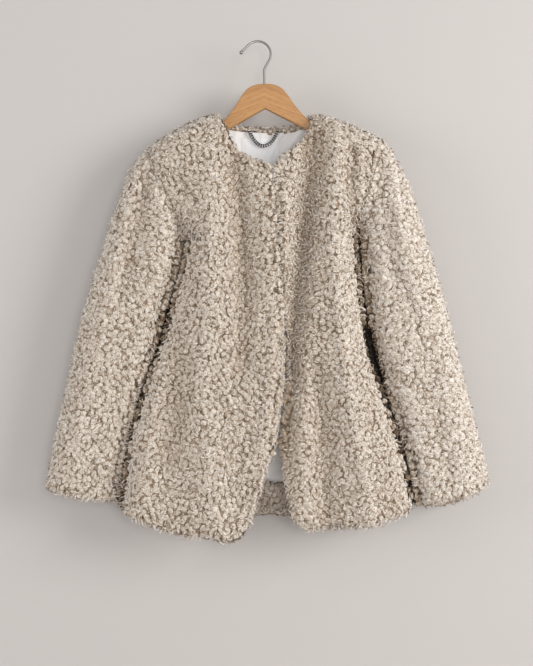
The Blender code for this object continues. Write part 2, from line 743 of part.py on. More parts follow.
def tube_object(name, centres, radii, sides, material):
    """A round tube in a plane of constant y, closed at its ends."""
    bm = bmesh.new()
    rings = []
    for i, (centre, radius) in enumerate(zip(centres, radii)):
        ahead, behind = centres[min(i + 1, len(centres) - 1)], centres[max(i - 1, 0)]
        forward = (ahead - behind).normalized()
        across = Vector((-forward.z, 0, forward.x))
        ring = []
        for k in range(sides):
            angle = 2 * math.pi * k / sides
            offset = across * math.cos(angle) + Vector((0, 1, 0)) * math.sin(angle)
            ring.append(bm.verts.new((centre + offset * radius) * MM))
        rings.append(ring)
    for a, b in zip(rings, rings[1:]):
        for k in range(sides):
            n = (k + 1) % sides
            bm.faces.new((a[k], b[k], b[n], a[n]))
    bm.faces.new(rings[0])
    bm.faces.new(rings[-1][::-1])
    bmesh.ops.recalc_face_normals(bm, faces=bm.faces)
    return mesh_object(name, bm, material)


def make_hook():
    """A wire from its socket up the stem, round the hook and out to a small ball."""
    bottom = WOOD_TOP[0][1] - SOCKET_DEPTH + SOCKET_FLOOR
    points = [(HANGER_X, z) for z in (bottom, *STEM_HEIGHTS)]
    first, last = HOOK_ARC
    for i in range(HOOK_ARC_POINTS):
        angle = math.radians(first + (last - first) * i / (HOOK_ARC_POINTS - 1))
        x = HOOK_CENTRE[0] + HOOK_RADIUS * math.cos(angle)
        z = HOOK_CENTRE[1] + HOOK_RADIUS * math.sin(angle)
        points.append((x, z))
    line = smooth_line((*points, HOOK_TIP))
    length = sum((b - a).length for a, b in zip(line, line[1:]))
    wire_end = 1 - BALL_START * BALL_RADIUS / length
    shares = [wire_end * i / HOOK_RINGS for i in range(HOOK_RINGS + 1)]
    shares += [1 - BALL_RADIUS / length * (1 - s) for s in BALL_RINGS]
    radii = [WIRE_RADIUS] * (HOOK_RINGS + 1)
    radii += [BALL_RADIUS * math.sqrt(1 - s * s) for s in BALL_RINGS]
    centres = [Vector((p.x, 0, p.y)) for p in along(line, shares)]
    return tube_object("hanger_hook", centres, radii, 12, "polished_steel")


def chain_line():
    """The catenary between the chain's ends that sags to its lowest point."""
    (x0, z0), (x1, z1) = CHAIN_ENDS
    half, sag = (x1 - x0) / 2, (z0 + z1) / 2 - CHAIN_BOTTOM_Z
    low, high = 1.0, 400.0
    for _ in range(60):
        scale = (low + high) / 2
        if scale * (math.cosh(half / scale) - 1) > sag:
            low = scale
        else:
            high = scale
    points = []
    steps = 80
    for i in range(steps + 1):
        share = i / steps
        away = (2 * share - 1) * half
        tilt = (z1 - z0) * (share - 0.5)
        z = CHAIN_BOTTOM_Z + scale * (math.cosh(away / scale) - 1) + tilt
        points.append(Vector((x0 + 2 * half * share, z)))
    return points


def make_chain():
    count = 2 * CHAIN_LINKS
    points = along(chain_line(), [i / count for i in range(count + 1)])
    radii = [CHAIN_THIN if i % 2 == 0 else CHAIN_THICK for i in range(count + 1)]
    centres = [Vector((p.x, CHAIN_Y, p.y)) for p in points]
    return tube_object("hang_chain", centres, radii, 8, "chain_steel")


def make_materials():
    for name, (colour, roughness, metallic) in FINISHES.items():
        material = bpy.data.materials.new(name)
        material.use_nodes = True
        shader = material.node_tree.nodes["Principled BSDF"]
        shader.inputs["Base Color"].default_value = (*colour, 1)
        shader.inputs["Roughness"].default_value = roughness
        shader.inputs["Metallic"].default_value = metallic


def main():
    for obj in list(bpy.data.objects):
        bpy.data.objects.remove(obj)
    make_materials()
    make_front("front_right", SHOULDER_RIGHT, NECK_RIGHT, EDGE_RIGHT, SIDE_RIGHT, HEM_RIGHT)
    make_front("front_left", SHOULDER_LEFT, NECK_LEFT, EDGE_LEFT, SIDE_LEFT, HEM_LEFT)
    make_back()
    make_sleeve("sleeve_right", SLEEVE_RIGHT, FOLDS_SLEEVE_RIGHT, SLEEVE_RIGHT_SAG)
    make_sleeve("sleeve_left", SLEEVE_LEFT, FOLDS_SLEEVE_LEFT, SLEEVE_LEFT_SAG)
    lining_end = FACING_TOP_Z + FACING_GAP
    make_on_back("lining_back", LINING_WALL, LINING_TOP_Z, lining_end, "satin_lining")
    make_on_back("hem_facing_back", FACING_WALL, FACING_TOP_Z, FACING_BOTTOM_Z, "faux_fur")
    make_chain()
    make_wood()
    make_hook()


main()
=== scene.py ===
"""The looks of a curly faux fur coat that hangs on a wooden hanger.

Each fur panel of the frame becomes a thin shell with thousands of locks, each a few strands coiled
on a soft dome, and thin wisps that stand out of them. The lining, its blank label, the links of
the hang chain and the hanger's wood and steel are made here too. Lengths are metres. Seen from the
coat's front, +X is to the right, +Y away and +Z up.
"""

import itertools
import json
import math
from collections import namedtuple

import bmesh
import bpy
import numpy as np
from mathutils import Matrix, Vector, noise
from mathutils.bvhtree import BVHTree


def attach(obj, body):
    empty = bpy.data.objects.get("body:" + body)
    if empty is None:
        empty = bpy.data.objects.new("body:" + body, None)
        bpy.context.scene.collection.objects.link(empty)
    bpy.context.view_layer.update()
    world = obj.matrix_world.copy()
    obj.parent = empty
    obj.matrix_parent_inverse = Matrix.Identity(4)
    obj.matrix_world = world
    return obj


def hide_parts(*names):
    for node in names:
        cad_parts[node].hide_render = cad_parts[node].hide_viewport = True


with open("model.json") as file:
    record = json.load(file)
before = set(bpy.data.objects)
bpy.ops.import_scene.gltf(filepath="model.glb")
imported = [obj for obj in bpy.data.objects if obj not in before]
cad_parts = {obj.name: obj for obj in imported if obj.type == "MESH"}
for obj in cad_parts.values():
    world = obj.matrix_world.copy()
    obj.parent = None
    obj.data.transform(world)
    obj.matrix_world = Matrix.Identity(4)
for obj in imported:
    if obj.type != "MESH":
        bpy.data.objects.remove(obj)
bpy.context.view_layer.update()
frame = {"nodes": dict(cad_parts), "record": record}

MM = 0.001
WELD = 1e-5  # points closer than this are one
SEED = 12

# The camera: its distance from the hanger's plane, its aim and the height that it takes in.
CAMERA_DISTANCE = 2.0
CAMERA_AIM = Vector((15.8 * MM, 0.0, -494.0 * MM))
VIEW_HEIGHT = 1.1322
SENSOR = 36.0

# The lights: where each stands, its diameter, power and colour.
LIGHTS = {
    "key": ((2.6, -1.9, 0.1), 1.7, 66.0, (1.0, 0.99, 0.97)),
    "front": ((0.5, -3.4, -0.3), 1.0, 26.0, (1.0, 0.99, 0.975)),
    "side": ((-2.6, -1.5, -0.3), 1.6, 22.0, (1.0, 0.99, 0.975)),
}
LIGHT_AIM = Vector((0.0, 0.0, -0.5))  # all face this
WORLD_COLOUR = (1.0, 0.99, 0.98, 1.0)
WORLD_STRENGTH = 0.5

# The stage.
WALL_Y = 0.066
WALL_TOP = 3.0
FLOOR_Z = -1.85
STAGE_REACH = 4.0  # to each side and in front
STAGE_COLOUR = (0.56, 0.535, 0.52)

# The panels.
PILE = 13.0 * MM  # from the backing to the tips
GROUND_DEPTH = 5.8 * MM  # of the ground between the locks
ROOM_SHARE = 0.5  # the most of a wall's thickness that this takes
SEAM_REACH = 0.8 * MM  # nearer than this to another panel is a seam
INNER = -0.35  # the inside's normals have a cosine to the way out below this
EDGE_REACH = 9.0 * MM  # nearer than this to the inside is a free edge
RAY_START = 0.2 * MM  # how far off a face its rays start
TRIES = 12  # candidate places for each that could fit
LEVEL = 0.15  # a surface faces up or down where its way down is shorter than this

# The hem's facing: the room that its locks take at least, the least y of the normals of its back,
# and how far above its lower edge it has the wisps of an edge.
LEAST_ROOM = 7.0 * MM
FACING_BEHIND = 0.5
RAGGED = 7.0 * MM

# The pile turns on the surface in two kinds of swirls: by how many degrees, the size of the swirls
# and a number for each. Each lock and wisp has a turn of its own too, with this spread.
SWIRLS = ((70.0, 75.0 * MM, 1), (50.0, 21.0 * MM, 2))
LOCK_TURN = 25.0
WISP_TURN = 60.0

# The locks: each is a few strands coiled on a soft dome, with crevices round it.
LOCK_SPACING = 7.5 * MM
LOCK_RADIUS = (4.5 * MM, 6.4 * MM)
LOCK_STRETCH = (1.0, 1.35)  # along its heading, its width being 1 / this
LOCK_LIFT = (-0.3 * MM, 0.6 * MM)  # of its top above the pile's face: mean and spread
LOCK_LIFT_LIMITS = (-2.0 * MM, 0.9 * MM)
# Where each strand starts and how far it turns, in degrees, and how far from the lock's middle it
# starts and ends, as a share of the lock's radius.
STRANDS = (
    (0.0, 150.0, 0.94, 0.66),
    (180.0, 150.0, 0.86, 0.58),
    (100.0, 230.0, 0.48, 0.12),
)
STRAND_START = 22.0  # the spread of its start
STRAND_TURN = (0.75, 1.25)  # shares of its turn
STRAND_REACH = (0.85, 1.1)  # and of its distances
STRAND_RINGS = 4
STRAND_RADIUS = (1.2 * MM, 1.7 * MM)
STRAND_TAPER = 0.3
STRAND_LIFT = 0.25 * MM  # the spread of its height
STRAND_DROP = 2.4 * MM  # at the lock's border
STRAND_TUCK = 1.5 * MM  # of its outer end, more
STRAND_ROOM = 0.55  # the most that it drops, as a share of the wall's thickness
STRAND_TALL = 1.25  # height of its section as a share of the half width
STRAND_ARCH = (-95.0, 0.0, 95.0)  # degrees round the section, from its top
STRAND_CROWN = (0.15, 1.0, 0.15)  # how far out of the pile it looks there, from -1 to 1, which sets its painted shade
STRAND_BORDER_SHADE = 0.2  # and how much less at the lock's border, as painted shade in the crevice
# Of each dome: its apex and its two rings.
DOME_LINES = 5
DOME_DROP = (2.1 * MM, 2.5 * MM, 7.5 * MM)
DOME_REACH = (0.0, 0.6, 1.34)
# how far out of the pile its apex and rings look, which sets painted shade, darkest at the rim
# between locks
DOME_CROWN = (0.5, 0.42, -0.4)
DOME_ROOM = 0.7

# The gaps between the panels.
GAP_REACH = 25.0 * MM  # locks nearer than this to another panel stand out towards it
GAP_FACED = 0.3  # where the cosine to its nearest point is above this
GAP_SLANT = 0.5  # the least cosine that the distance to it is divided by
GAP_FULL = 16.0 * MM  # most of a gap up to this wide is filled
GAP_FILL = 0.5  # the share of it that each side fills in front
GAP_UNEVEN = (0.75, 1.05)  # and of that share
GAP_BEHIND = 0.55  # the share behind the hanger's plane
RIM = (4.0 * MM, 19.0 * MM)  # this far from a sleeve or the body is beside a gap
RIM_SLOPE = (-0.5, -0.12)  # y of the normals of its rims, which the painted shade leaves light, and of its walls
MEETING = (1.2 * MM, 9.0 * MM)  # elsewhere, this far from a panel is where the two meet
GAP_DARK = (3.0 * MM, 14.0 * MM, 20.0 * MM)  # painted shade in the gap: darkest from the first to the second
GAP_SHADE_CROWN = -0.95  # how far out of the pile it looks there, as near black painted shade
ARMPIT_Z = -288.0 * MM  # the gaps beside the sleeves are below this,
BODY_HALF = 90.0 * MM  # farther than this from the body's middle
BODY_MIDDLE = 15.0 * MM
TOUCHING_Z = (-450.0 * MM, -484.0 * MM)  # above this the right and left sleeve lie on the body
TOUCHING_DARK = 0.5  # how dark the painted shade is there
OPEN_GAP = (0.0, -570.0 * MM, -484.0 * MM)  # x above this, between these z: the gap stays open

# Locks whose normal's y is less than this face sideways, and are painted lighter, as painted light,
# by up to this share of the way to the tips. Those of these panels get painted light by these
# shares.
SIDE_SLOPE = 0.7
SIDE_LIGHT = 0.6
SLEEVE_PAINTED_LIGHT = {"sleeve_left": 0.42, "sleeve_right": 0.15}

# The wisps.
WISP_SPACING = 9.6 * MM
WISP_RINGS = 4
WISP_LENGTH = (8.0 * MM, 13.0 * MM)
WISP_RADIUS = (1.1 * MM, 1.7 * MM)
WISP_TAPER = 0.7
WISP_TALL = 1.2
WISP_CURL = (20.0, 150.0)  # degrees that it turns along its length
WISP_START = (45.0, 80.0)  # degrees that it rises at its root
WISP_END = (-10.0, 50.0)  # and at its tip
WISP_ROOT = 4.0 * MM  # how deep below the pile's face it starts
WISP_TOP = (0.8 * MM, 3.2 * MM)  # and how far out of it it ends
WISP_ARCH = (-105.0, 0.0, 105.0)
# how far out of the pile it looks across it, which sets painted shade, darker at its sides
WISP_CROWN = (0.5, 1.0, 0.5)
WISP_PATTERN = (1.2, 8.0)  # its half width and length in the fibres' pattern
EDGE_WISP_SPACING = 5.4 * MM
EDGE_WISP_LONGER = 1.4  # on an edge's underside
EDGE_WISP_HIGHER = (0.5 * MM, 3.5 * MM)
LOW_EDGE = -0.3  # z of the normals there is below this
RIM_WISP_SPACING = 4.6 * MM
RIM_WISP_THICKER = 1.3
RIM_WISP_REACH = (0.1, 0.35)  # of the gap that they cross

FUR_NODES = ("back", "front_right", "front_left", "sleeve_right", "sleeve_left")
BACK_SPLIT = -0.47  # z where the back's locks change from one object to the other
TURNED_UP = -0.755  # z below which the inside of the back's hem is fur too

# The lining, whose stretch that shows is split until its edges are this long, and its label. The
# corners are (x, z).
LINING_SPLITS = 2
LINING_FINE = ((-45.0 * MM, -215.0 * MM), (80.0 * MM, -140.0 * MM))
LINING_EDGE = 2.5 * MM
LABEL_CORNERS = ((-26.0 * MM, -212.0 * MM), (36.0 * MM, -160.0 * MM))
LABEL_COLUMNS = 25
LABEL_ROWS = 15
LABEL_RIM = 0.15 * MM
LABEL_GAP = 0.2 * MM
LABEL_THICKNESS = 0.15 * MM
IN_FRONT_Y = -0.1

# The hang chain, on the line of its solid.
CHAIN_ENDS = ((-14.0 * MM, -146.0 * MM), (35.0 * MM, -148.0 * MM))
CHAIN_BOTTOM_Z = -173.0 * MM
CHAIN_Y = 17.2 * MM
CHAIN_SCALES = (1.0 * MM, 400.0 * MM)  # its catenary's scale is between these
CHAIN_HALVINGS = 60  # of the stretch between them
CHAIN_POINTS = 401
CHAIN_LINKS = 38
# The polished links and the dark ones between them, painted dark to stand for the shade between
# the polished bars: half the length and half the width at the wire's middle, the wire's radius, and
# the degrees from the chain's plane to the link's own.
LINKS = (
    (0.4 * MM, 2.75 * MM, 0.6 * MM, 0.0),
    (1.0 * MM, 2.4 * MM, 0.85 * MM, -8.0),
)
LINK_STEPS = 12
WIRE_STEPS = 6

WOOD_MIDDLE = 12.0 * MM  # x of the joint between the hanger's arms
WOOD_GRAIN_TURN = math.radians(-21.0)

CREASE_FROM = 8.0 * MM  # how far from the hanger's plane the creases start
CREASE_FADE = 24.0 * MM  # over how much they reach full depth
CREASE_SHADE = 0.04  # painted shade in the creases: how much deeper in the pile it looks for each millimetre

# Creases, finer than the folds of the frame, in millimetres: where each runs, as (x, z) from top to
# bottom, its depth, less than 0 for a ridge, and its half widths to the left and right.
FRONT_CREASES = (
    (((94, -140), (77, -274), (61, -439), (46, -600), (32, -760)), 15, 21, 44),
    (((-40, -178), (-33, -300), (-22, -450), (-30, -560)), 9, 20, 28),
    (((-78, -200), (-74, -440), (-84, -600), (-64, -840)), -4, 26, 26),
    (((-134, -540), (-146, -700)), 7, 30, 36),
    (((134, -180), (138, -440), (156, -600), (200, -840)), -4, 26, 26),
    (((96, -540), (110, -650), (118, -830)), 6, 16, 24),
    (((160, -190), (158, -300), (164, -380)), 7, 18, 14),
    (((-186, -230), (-206, -330), (-226, -420)), 7, 16, 26),
    (((-200, -460), (-240, -620)), 4, 14, 22),
    (((206, -200), (216, -300), (230, -400)), 7, 18, 24),
    (((250, -420), (290, -560), (320, -720)), 4, 18, 22),
)
BACK_CREASES = (
    (((-70, -190), (-64, -330), (-78, -470)), 4, 22, 18),
    (((-84, -480), (-112, -640), (-124, -815)), 5, 24, 30),
    (((-14, -330), (-22, -520), (-30, -700)), 3, 20, 26),
    (((44, -180), (48, -300)), 3, 16, 20),
    (((70, -420), (84, -600), (92, -815)), 5, 26, 22),
    (((124, -230), (116, -350), (132, -470)), 4, 18, 24),
    (((150, -560), (178, -700), (196, -815)), 4, 20, 24),
    (((-196, -250), (-214, -360), (-236, -470)), 4, 18, 20),
    (((-250, -540), (-290, -700)), 3, 16, 22),
    (((226, -240), (240, -340), (256, -430)), 4, 18, 18),
    (((276, -500), (318, -690)), 3, 20, 18),
)
LINING_CREASES = (
    (((62, -140), (40, -166), (26, -196)), 1.5, 5, 7),
    (((50, -143), (33, -160), (24, -172)), -1.2, 4, 5),
    (((76, -146), (56, -172), (44, -200)), -1.6, 8, 7),
    (((-20, -143), (-27, -158), (-25, -176)), 0.5, 6, 7),
    (((-34, -142), (-38, -160), (-34, -180)), -0.7, 7, 7),
    (((4, -143), (8, -156), (6, -170)), -0.8, 5, 7),
    (((18, -143), (20, -155)), 0.7, 4, 5),
    (((8, -600), (22, -680), (16, -751)), 1.6, 12, 14),
    (((52, -620), (38, -700), (44, -751)), -1.6, 12, 10),
    (((-60, -300), (-30, -420), (-44, -560)), 1.6, 20, 16),
    (((90, -330), (70, -470), (96, -610)), 1.6, 18, 22),
)


# ---- meshes as arrays


def node_mesh(name):
    """The node's points and triangles as arrays, with points that lie together made one."""
    mesh = frame["nodes"][name].data
    points = np.empty(3 * len(mesh.vertices))
    mesh.vertices.foreach_get("co", points)
    points = points.reshape(-1, 3)
    mesh.calc_loop_triangles()
    corners = np.empty(3 * len(mesh.loop_triangles), int)
    mesh.loop_triangles.foreach_get("vertices", corners)
    keys = np.round(points / WELD).astype(np.int64)
    _, first, index = np.unique(keys, axis=0, return_index=True, return_inverse=True)
    return points[first], index.ravel()[corners].reshape(-1, 3)


def placed(name, data):
    obj = bpy.data.objects.new(name, data)
    bpy.context.scene.collection.objects.link(obj)
    return obj


def new_object(name, slot, points, faces, *materials):
    """A smooth object from points and triangles, riding on the coat's body."""
    mesh = bpy.data.meshes.new(name)
    mesh.from_pydata(points.tolist(), [], faces.tolist())
    mesh.shade_smooth()
    for material in materials:
        mesh.materials.append(material)
    obj = placed(name, mesh)
    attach(obj, "root")
    return obj


def face_normals(points, faces):
    """The normal of each triangle, as long as twice its area."""
    a, b, c = (points[faces[:, k]] for k in range(3))
    return np.cross(b - a, c - a)


def unit(vectors):
    return vectors / np.maximum(np.linalg.norm(vectors, axis=-1, keepdims=True), 1e-12)


def point_normals(points, faces):
    """The mean normal at each point of these triangles, weighted by their areas."""
    total = np.zeros_like(points)
    normals = face_normals(points, faces)
    for k in range(3):
        np.add.at(total, faces[:, k], normals)
    return unit(total)


def tree(points, faces):
    """The surface, to find the nearest point of it or what a ray hits."""
    return BVHTree.FromPolygons([Vector(p) for p in points], faces.tolist())


def subdivided(points, faces):
    """Each triangle split into four at the middles of its edges."""
    edges = np.sort(np.concatenate([faces[:, [0, 1]], faces[:, [1, 2]], faces[:, [2, 0]]]), axis=1)
    pairs, index = np.unique(edges, axis=0, return_inverse=True)
    middle = index.ravel().reshape(3, -1).T + len(points)
    points = np.concatenate([points, points[pairs].mean(axis=1)])
    a, b, c = faces.T
    ab, bc, ca = middle.T
    parts = [(a, ab, ca), (ab, b, bc), (ca, bc, c), (ab, bc, ca)]
    return points, np.concatenate([np.stack(p, axis=1) for p in parts])


def flow(places, size, number):
    """A smooth random value for each place, from about -1 to 1, that changes over this size."""
    offset = Vector((7.3, 3.1, 5.7)) * number
    return np.array([noise.noise(Vector(p) / size + offset) for p in places]) * 2.0


def front_share(points):
    """How far the creases of the front reach these points, from 0 to 1."""
    return np.clip((-points[:, 1] - CREASE_FROM) / CREASE_FADE, 0, 1)


def crease_depth(points, creases):
    """How deep the creases are at each point, in metres."""
    x, z = points[:, 0], points[:, 2]
    depth = np.zeros(len(points))
    for line, deepest, left, right in creases:
        path = np.array(line) * MM
        best = np.full(len(points), np.inf)
        side = np.zeros(len(points))
        for (ax, az), (bx, bz) in zip(path, path[1:]):
            dx, dz = bx - ax, bz - az
            t = np.clip(((x - ax) * dx + (z - az) * dz) / (dx * dx + dz * dz), 0, 1)
            away = np.hypot(x - ax - t * dx, z - az - t * dz)
            nearer = away < best
            best[nearer] = away[nearer]
            side[nearer] = (x - ax - t * dx)[nearer]
        width = np.where(side < 0, left, right) * MM
        depth += np.clip(1 - (best / width) ** 2, 0, 1) ** 2 * deepest * MM
    return depth


def creased(points, carried):
    """A panel's points with the creases. Those of the back move only what carries pile."""
    result = points.copy()
    result[:, 1] += front_share(points) * crease_depth(points, FRONT_CREASES)
    result[:, 1] -= front_share(-points) * carried * crease_depth(points, BACK_CREASES)
    return result


def quads(*corners):
    """Two triangles for each set of four corners."""
    a, b, c, d = (np.ravel(v) for v in corners)
    return np.stack([a, b, c, a, c, d], axis=1).reshape(-1, 3)


def repeated(faces, count, size):
    """The triangles of one thing with so many points, for a count of them."""
    return (np.array(faces) + np.arange(count)[:, None, None] * size).reshape(-1, 3)


# ---- tubes


TUBE_END = (0.55, 0.35)  # how far ahead and below its last ring a tube ends, in radii


def tubes(centres, up, radii, angles, tall):
    """Points and triangles of many tubes that are open below. centres are the middles of their
    rings, up the way that each tube's top faces and radii the rings' half widths. angles are where
    a ring's points lie, from its top, and tall is its height as a share of its half width."""
    count, rings = radii.shape
    forward = unit(np.gradient(centres, axis=1))
    side = unit(np.cross(forward, up[:, None]))
    out = np.cross(side, forward)
    angles = np.radians(angles)
    lines = len(angles)
    ring = (
        side[:, :, None] * np.sin(angles)[:, None]
        + out[:, :, None] * np.cos(angles)[:, None] * tall
    )
    walls = centres[:, :, None] + ring * radii[:, :, None, None]
    ahead, below = TUBE_END
    first = centres[:, 0] - (forward[:, 0] * ahead + out[:, 0] * below) * radii[:, 0, None]
    last = centres[:, -1] + (forward[:, -1] * ahead - out[:, -1] * below) * radii[:, -1, None]
    points = np.concatenate([walls.reshape(count, -1, 3), first[:, None], last[:, None]], axis=1)
    start, end, size = rings * lines, rings * lines + 1, rings * lines + 2
    one = []
    for i in range(lines - 1):
        a = i + lines * np.arange(rings - 1)
        one += [*quads(a, a + 1, a + 1 + lines, a + lines), (i, start, i + 1)]
        one.append((start - lines + i, start - lines + i + 1, end))
    return points, repeated(one, count, size)


def pile_object(name, points, faces, crown, strand, material):
    """An object of locks or wisps. crown is how far out of the pile a point looks, from -1 to 1,
    which the material turns into painted shade, darker deeper down, and strand its place on its own
    lock or wisp, in millimetres, with that one's own number."""
    obj = new_object(name, "fur", points.reshape(-1, 3), faces, material)
    layer = obj.data.attributes.new("crown", "FLOAT", "POINT")
    layer.data.foreach_set("value", crown.astype(np.float32).ravel())
    layer = obj.data.attributes.new("strand", "FLOAT_VECTOR", "POINT")
    layer.data.foreach_set("vector", strand.astype(np.float32).ravel())
    return obj


def with_ends(values, first, last):
    """Values of each ring's points, as (tube, ring, line), with those of the two end points."""
    count = len(values)
    ends = np.broadcast_to(np.array([first, last]), (count, 2))
    return np.concatenate([values.reshape(count, -1), ends], axis=1)


# ---- locks and wisps


# A fur panel: its points and triangles, which of these carry pile, are on its inside and are at a
# free edge, and the surfaces of the other panels.
Panel = namedtuple("Panel", "node points faces pile inner edge neighbours")

# Many locks: where each stands, the way out there and how thick the wall is, its heading, its
# radius and its stretch along the heading, and how high its top is.
Locks = namedtuple("Locks", "places normals room heading size stretch lift")


def scattered(panel, faces, spacing, rng):
    """Random places on these triangles of the panel, none nearer to another than the spacing, and
    the way out at each."""
    points, normals = panel.points, point_normals(panel.points, panel.faces[panel.pile])
    areas = np.linalg.norm(face_normals(points, faces), axis=1) / 2
    tries = int(TRIES * areas.sum() / spacing**2)
    chosen = rng.choice(len(faces), tries, p=areas / areas.sum())
    u, v = rng.random((2, tries))
    over = u + v > 1
    u[over], v[over] = 1 - u[over], 1 - v[over]
    weights = np.stack([1 - u - v, u, v], axis=1)
    places = np.einsum("nk,nkd->nd", weights, points[faces[chosen]])
    cells = np.floor(places / spacing).astype(int).tolist()
    around = list(itertools.product((-1, 0, 1), repeat=3))
    taken, kept = {}, []
    for n, (i, j, k) in enumerate(cells):
        p = places[n].tolist()
        near = (q for a, b, c in around for q in taken.get((i + a, j + b, k + c), ()))
        if all(math.dist(p, q) >= spacing for q in near):
            taken.setdefault((i, j, k), []).append(p)
            kept.append(n)
    out = np.einsum("nk,nkd->nd", weights[kept], normals[faces[chosen[kept]]])
    return places[kept], unit(out)


def room_inside(places, normals, wall):
    """How thick the wall is under each place."""
    found = []
    for p, n in zip(places, normals):
        hit = wall.ray_cast(Vector(p - n * RAY_START), Vector(-n), 2 * PILE)
        found.append(hit[3] if hit[0] is not None else PILE)
    return np.minimum(np.array(found), PILE)


def gap_outside(places, normals, neighbours):
    """How far it is from each place to another panel, at most GAP_REACH."""
    found = np.full(len(places), GAP_REACH)
    for i, (p, n) in enumerate(zip(places, normals)):
        for other in neighbours:
            hit, _, _, away = other.ray_cast(Vector(p + n * RAY_START), Vector(n), GAP_REACH)
            if hit is not None:
                found[i] = min(found[i], away)
            near, _, _, away = other.find_nearest(Vector(p), GAP_REACH)
            if near is not None:
                lean = (near - Vector(p)).normalized().dot(Vector(n))
                if lean > GAP_FACED:
                    found[i] = min(found[i], away / max(lean, GAP_SLANT))
    return found


def opened(places):
    """Whether the places are beside the gap that stays open."""
    left, low, high = OPEN_GAP
    return (places[:, 0] > left) & (places[:, 2] > low) & (places[:, 2] < high)


def beside_sleeve(places):
    """Whether the places are where a gap runs between a sleeve and the body."""
    return (np.abs(places[:, 0] - BODY_MIDDLE) > BODY_HALF) & (places[:, 2] < ARMPIT_Z)


def painted_gap_shade(places, normals, gap):
    """How much painted shade darkens the pile at each place between a sleeve and the body, from 0 to
    1.
    """
    least, full, most = GAP_DARK
    rim, wall = RIM_SLOPE
    share = np.clip((most - gap) / (most - full), 0, 1)
    share *= np.clip((normals[:, 1] - rim) / (wall - rim), 0, 1)
    touching = places[:, 2] > np.where(places[:, 0] < BODY_MIDDLE, *TOUCHING_Z)
    share[touching] *= TOUCHING_DARK
    return np.where((gap > least) & beside_sleeve(places), share, 0)


def surface_axes(normals):
    """Directions along the surface at places with these normals: down, and across that."""
    down = np.array([0.0, 0.0, -1.0]) + normals * normals[:, 2:3]
    flat = np.linalg.norm(down, axis=1) < LEVEL
    # Where the surface faces up or down, the pile flows outwards and a little to the front.
    down[flat] = normals[flat] * np.array([1.0, 1.0, 0.0]) + np.array([0.0, -0.05, 0.0])
    down = unit(down - normals * (down * normals).sum(axis=1, keepdims=True))
    return down, np.cross(normals, down)


def laid_out(places, normals, x, y, z):
    """World points from distances down the surface, across it and out of it."""
    steps = zip((x, y, z), (*surface_axes(normals), normals))
    return sum((v[..., None] * axis[:, None] for v, axis in steps), places[:, None])


def turned(x, y, angle):
    """The distances down the surface and across it, for those along a heading and across it."""
    return np.cos(angle) * x - np.sin(angle) * y, np.sin(angle) * x + np.cos(angle) * y


def headings(places, spread, rng):
    """Where each lock or wisp heads on the surface, in radians: those near each other turn alike."""
    turn = sum(most * flow(places, size, number) for most, size, number in SWIRLS)
    return np.radians(turn + rng.normal(0, spread, len(places)))


def make_strands(locks, rng):
    """The strands coiled on each lock: points, triangles, and crown and strand at each point."""
    count, each = len(locks.places), len(STRANDS)
    shape = (count, each)
    start, turn, outer, inner = np.array(STRANDS).T
    hand = rng.choice([-1.0, 1.0], (count, 1))
    start = rng.uniform(0, 360, (count, 1)) + hand * start + rng.normal(0, STRAND_START, shape)
    turn = hand * turn * rng.uniform(*STRAND_TURN, shape)
    radius = rng.uniform(*STRAND_RADIUS, shape)
    t = np.linspace(0, 1, STRAND_RINGS)
    angle = np.radians(start[..., None] + turn[..., None] * t)
    share = outer[:, None] + (inner - outer)[:, None] * t
    share = share * rng.uniform(*STRAND_REACH, shape)[..., None]
    reach = share * locks.size[:, None, None]
    x = np.cos(angle) * reach * locks.stretch[:, None, None]
    y = np.sin(angle) * reach / locks.stretch[:, None, None]
    x, y = turned(x, y, locks.heading[:, None, None])
    drop = STRAND_DROP * share**2 + STRAND_TUCK * (1 - t) ** 3
    top = locks.lift[:, None] - radius * STRAND_TALL + rng.normal(0, STRAND_LIFT, shape)
    z = top[..., None] - np.minimum(drop, STRAND_ROOM * locks.room[:, None, None])
    radii = radius[..., None] * (1 - STRAND_TAPER * t**2)

    places, normals = (np.repeat(v, each, axis=0) for v in (locks.places, locks.normals))
    x, y, z, radii, share = (v.reshape(-1, STRAND_RINGS) for v in (x, y, z, radii, share))
    centres = laid_out(places, normals, x, y, z)
    points, faces = tubes(centres, normals, radii, STRAND_ARCH, STRAND_TALL)
    # painted shade: darker at the strand's sides and towards the lock's border
    light = (1 - STRAND_BORDER_SHADE * share**2)[..., None] * np.array(STRAND_CROWN)
    crown = with_ends(light, 0.0, 0.5)
    away = points - places[:, None]
    along = [(away * axis[:, None]).sum(axis=2) for axis in surface_axes(normals)]
    strand = np.stack([*along, np.zeros(points.shape[:2])], axis=-1) / MM
    return points, faces, crown, strand


def make_domes(locks):
    """The soft dome under each lock's strands, in the same way."""
    repeats = (1, DOME_LINES, DOME_LINES)
    angle = np.linspace(0, 2 * math.pi, DOME_LINES, endpoint=False)
    reach = np.repeat(DOME_REACH, repeats)
    around = np.concatenate([[0.0], angle, angle + math.pi / DOME_LINES])
    x = np.cos(around) * reach * (locks.size * locks.stretch)[:, None]
    y = np.sin(around) * reach * (locks.size / locks.stretch)[:, None]
    drop = np.minimum(np.repeat(DOME_DROP, repeats), DOME_ROOM * locks.room[:, None])
    down, across = turned(x, y, locks.heading[:, None])
    points = laid_out(locks.places, locks.normals, down, across, locks.lift[:, None] - drop)
    a = 1 + np.arange(DOME_LINES)
    b = np.roll(a, -1)
    low, next_low = a + DOME_LINES, b + DOME_LINES
    one = np.stack([0 * a, a, b, a, low, b, b, low, next_low], axis=1).reshape(-1, 3)
    crown = np.broadcast_to(np.repeat(DOME_CROWN, repeats), x.shape)
    strand = np.stack([x, y, np.zeros_like(x)], axis=-1) / MM
    return points, repeated(one, len(points), len(around)), crown, strand


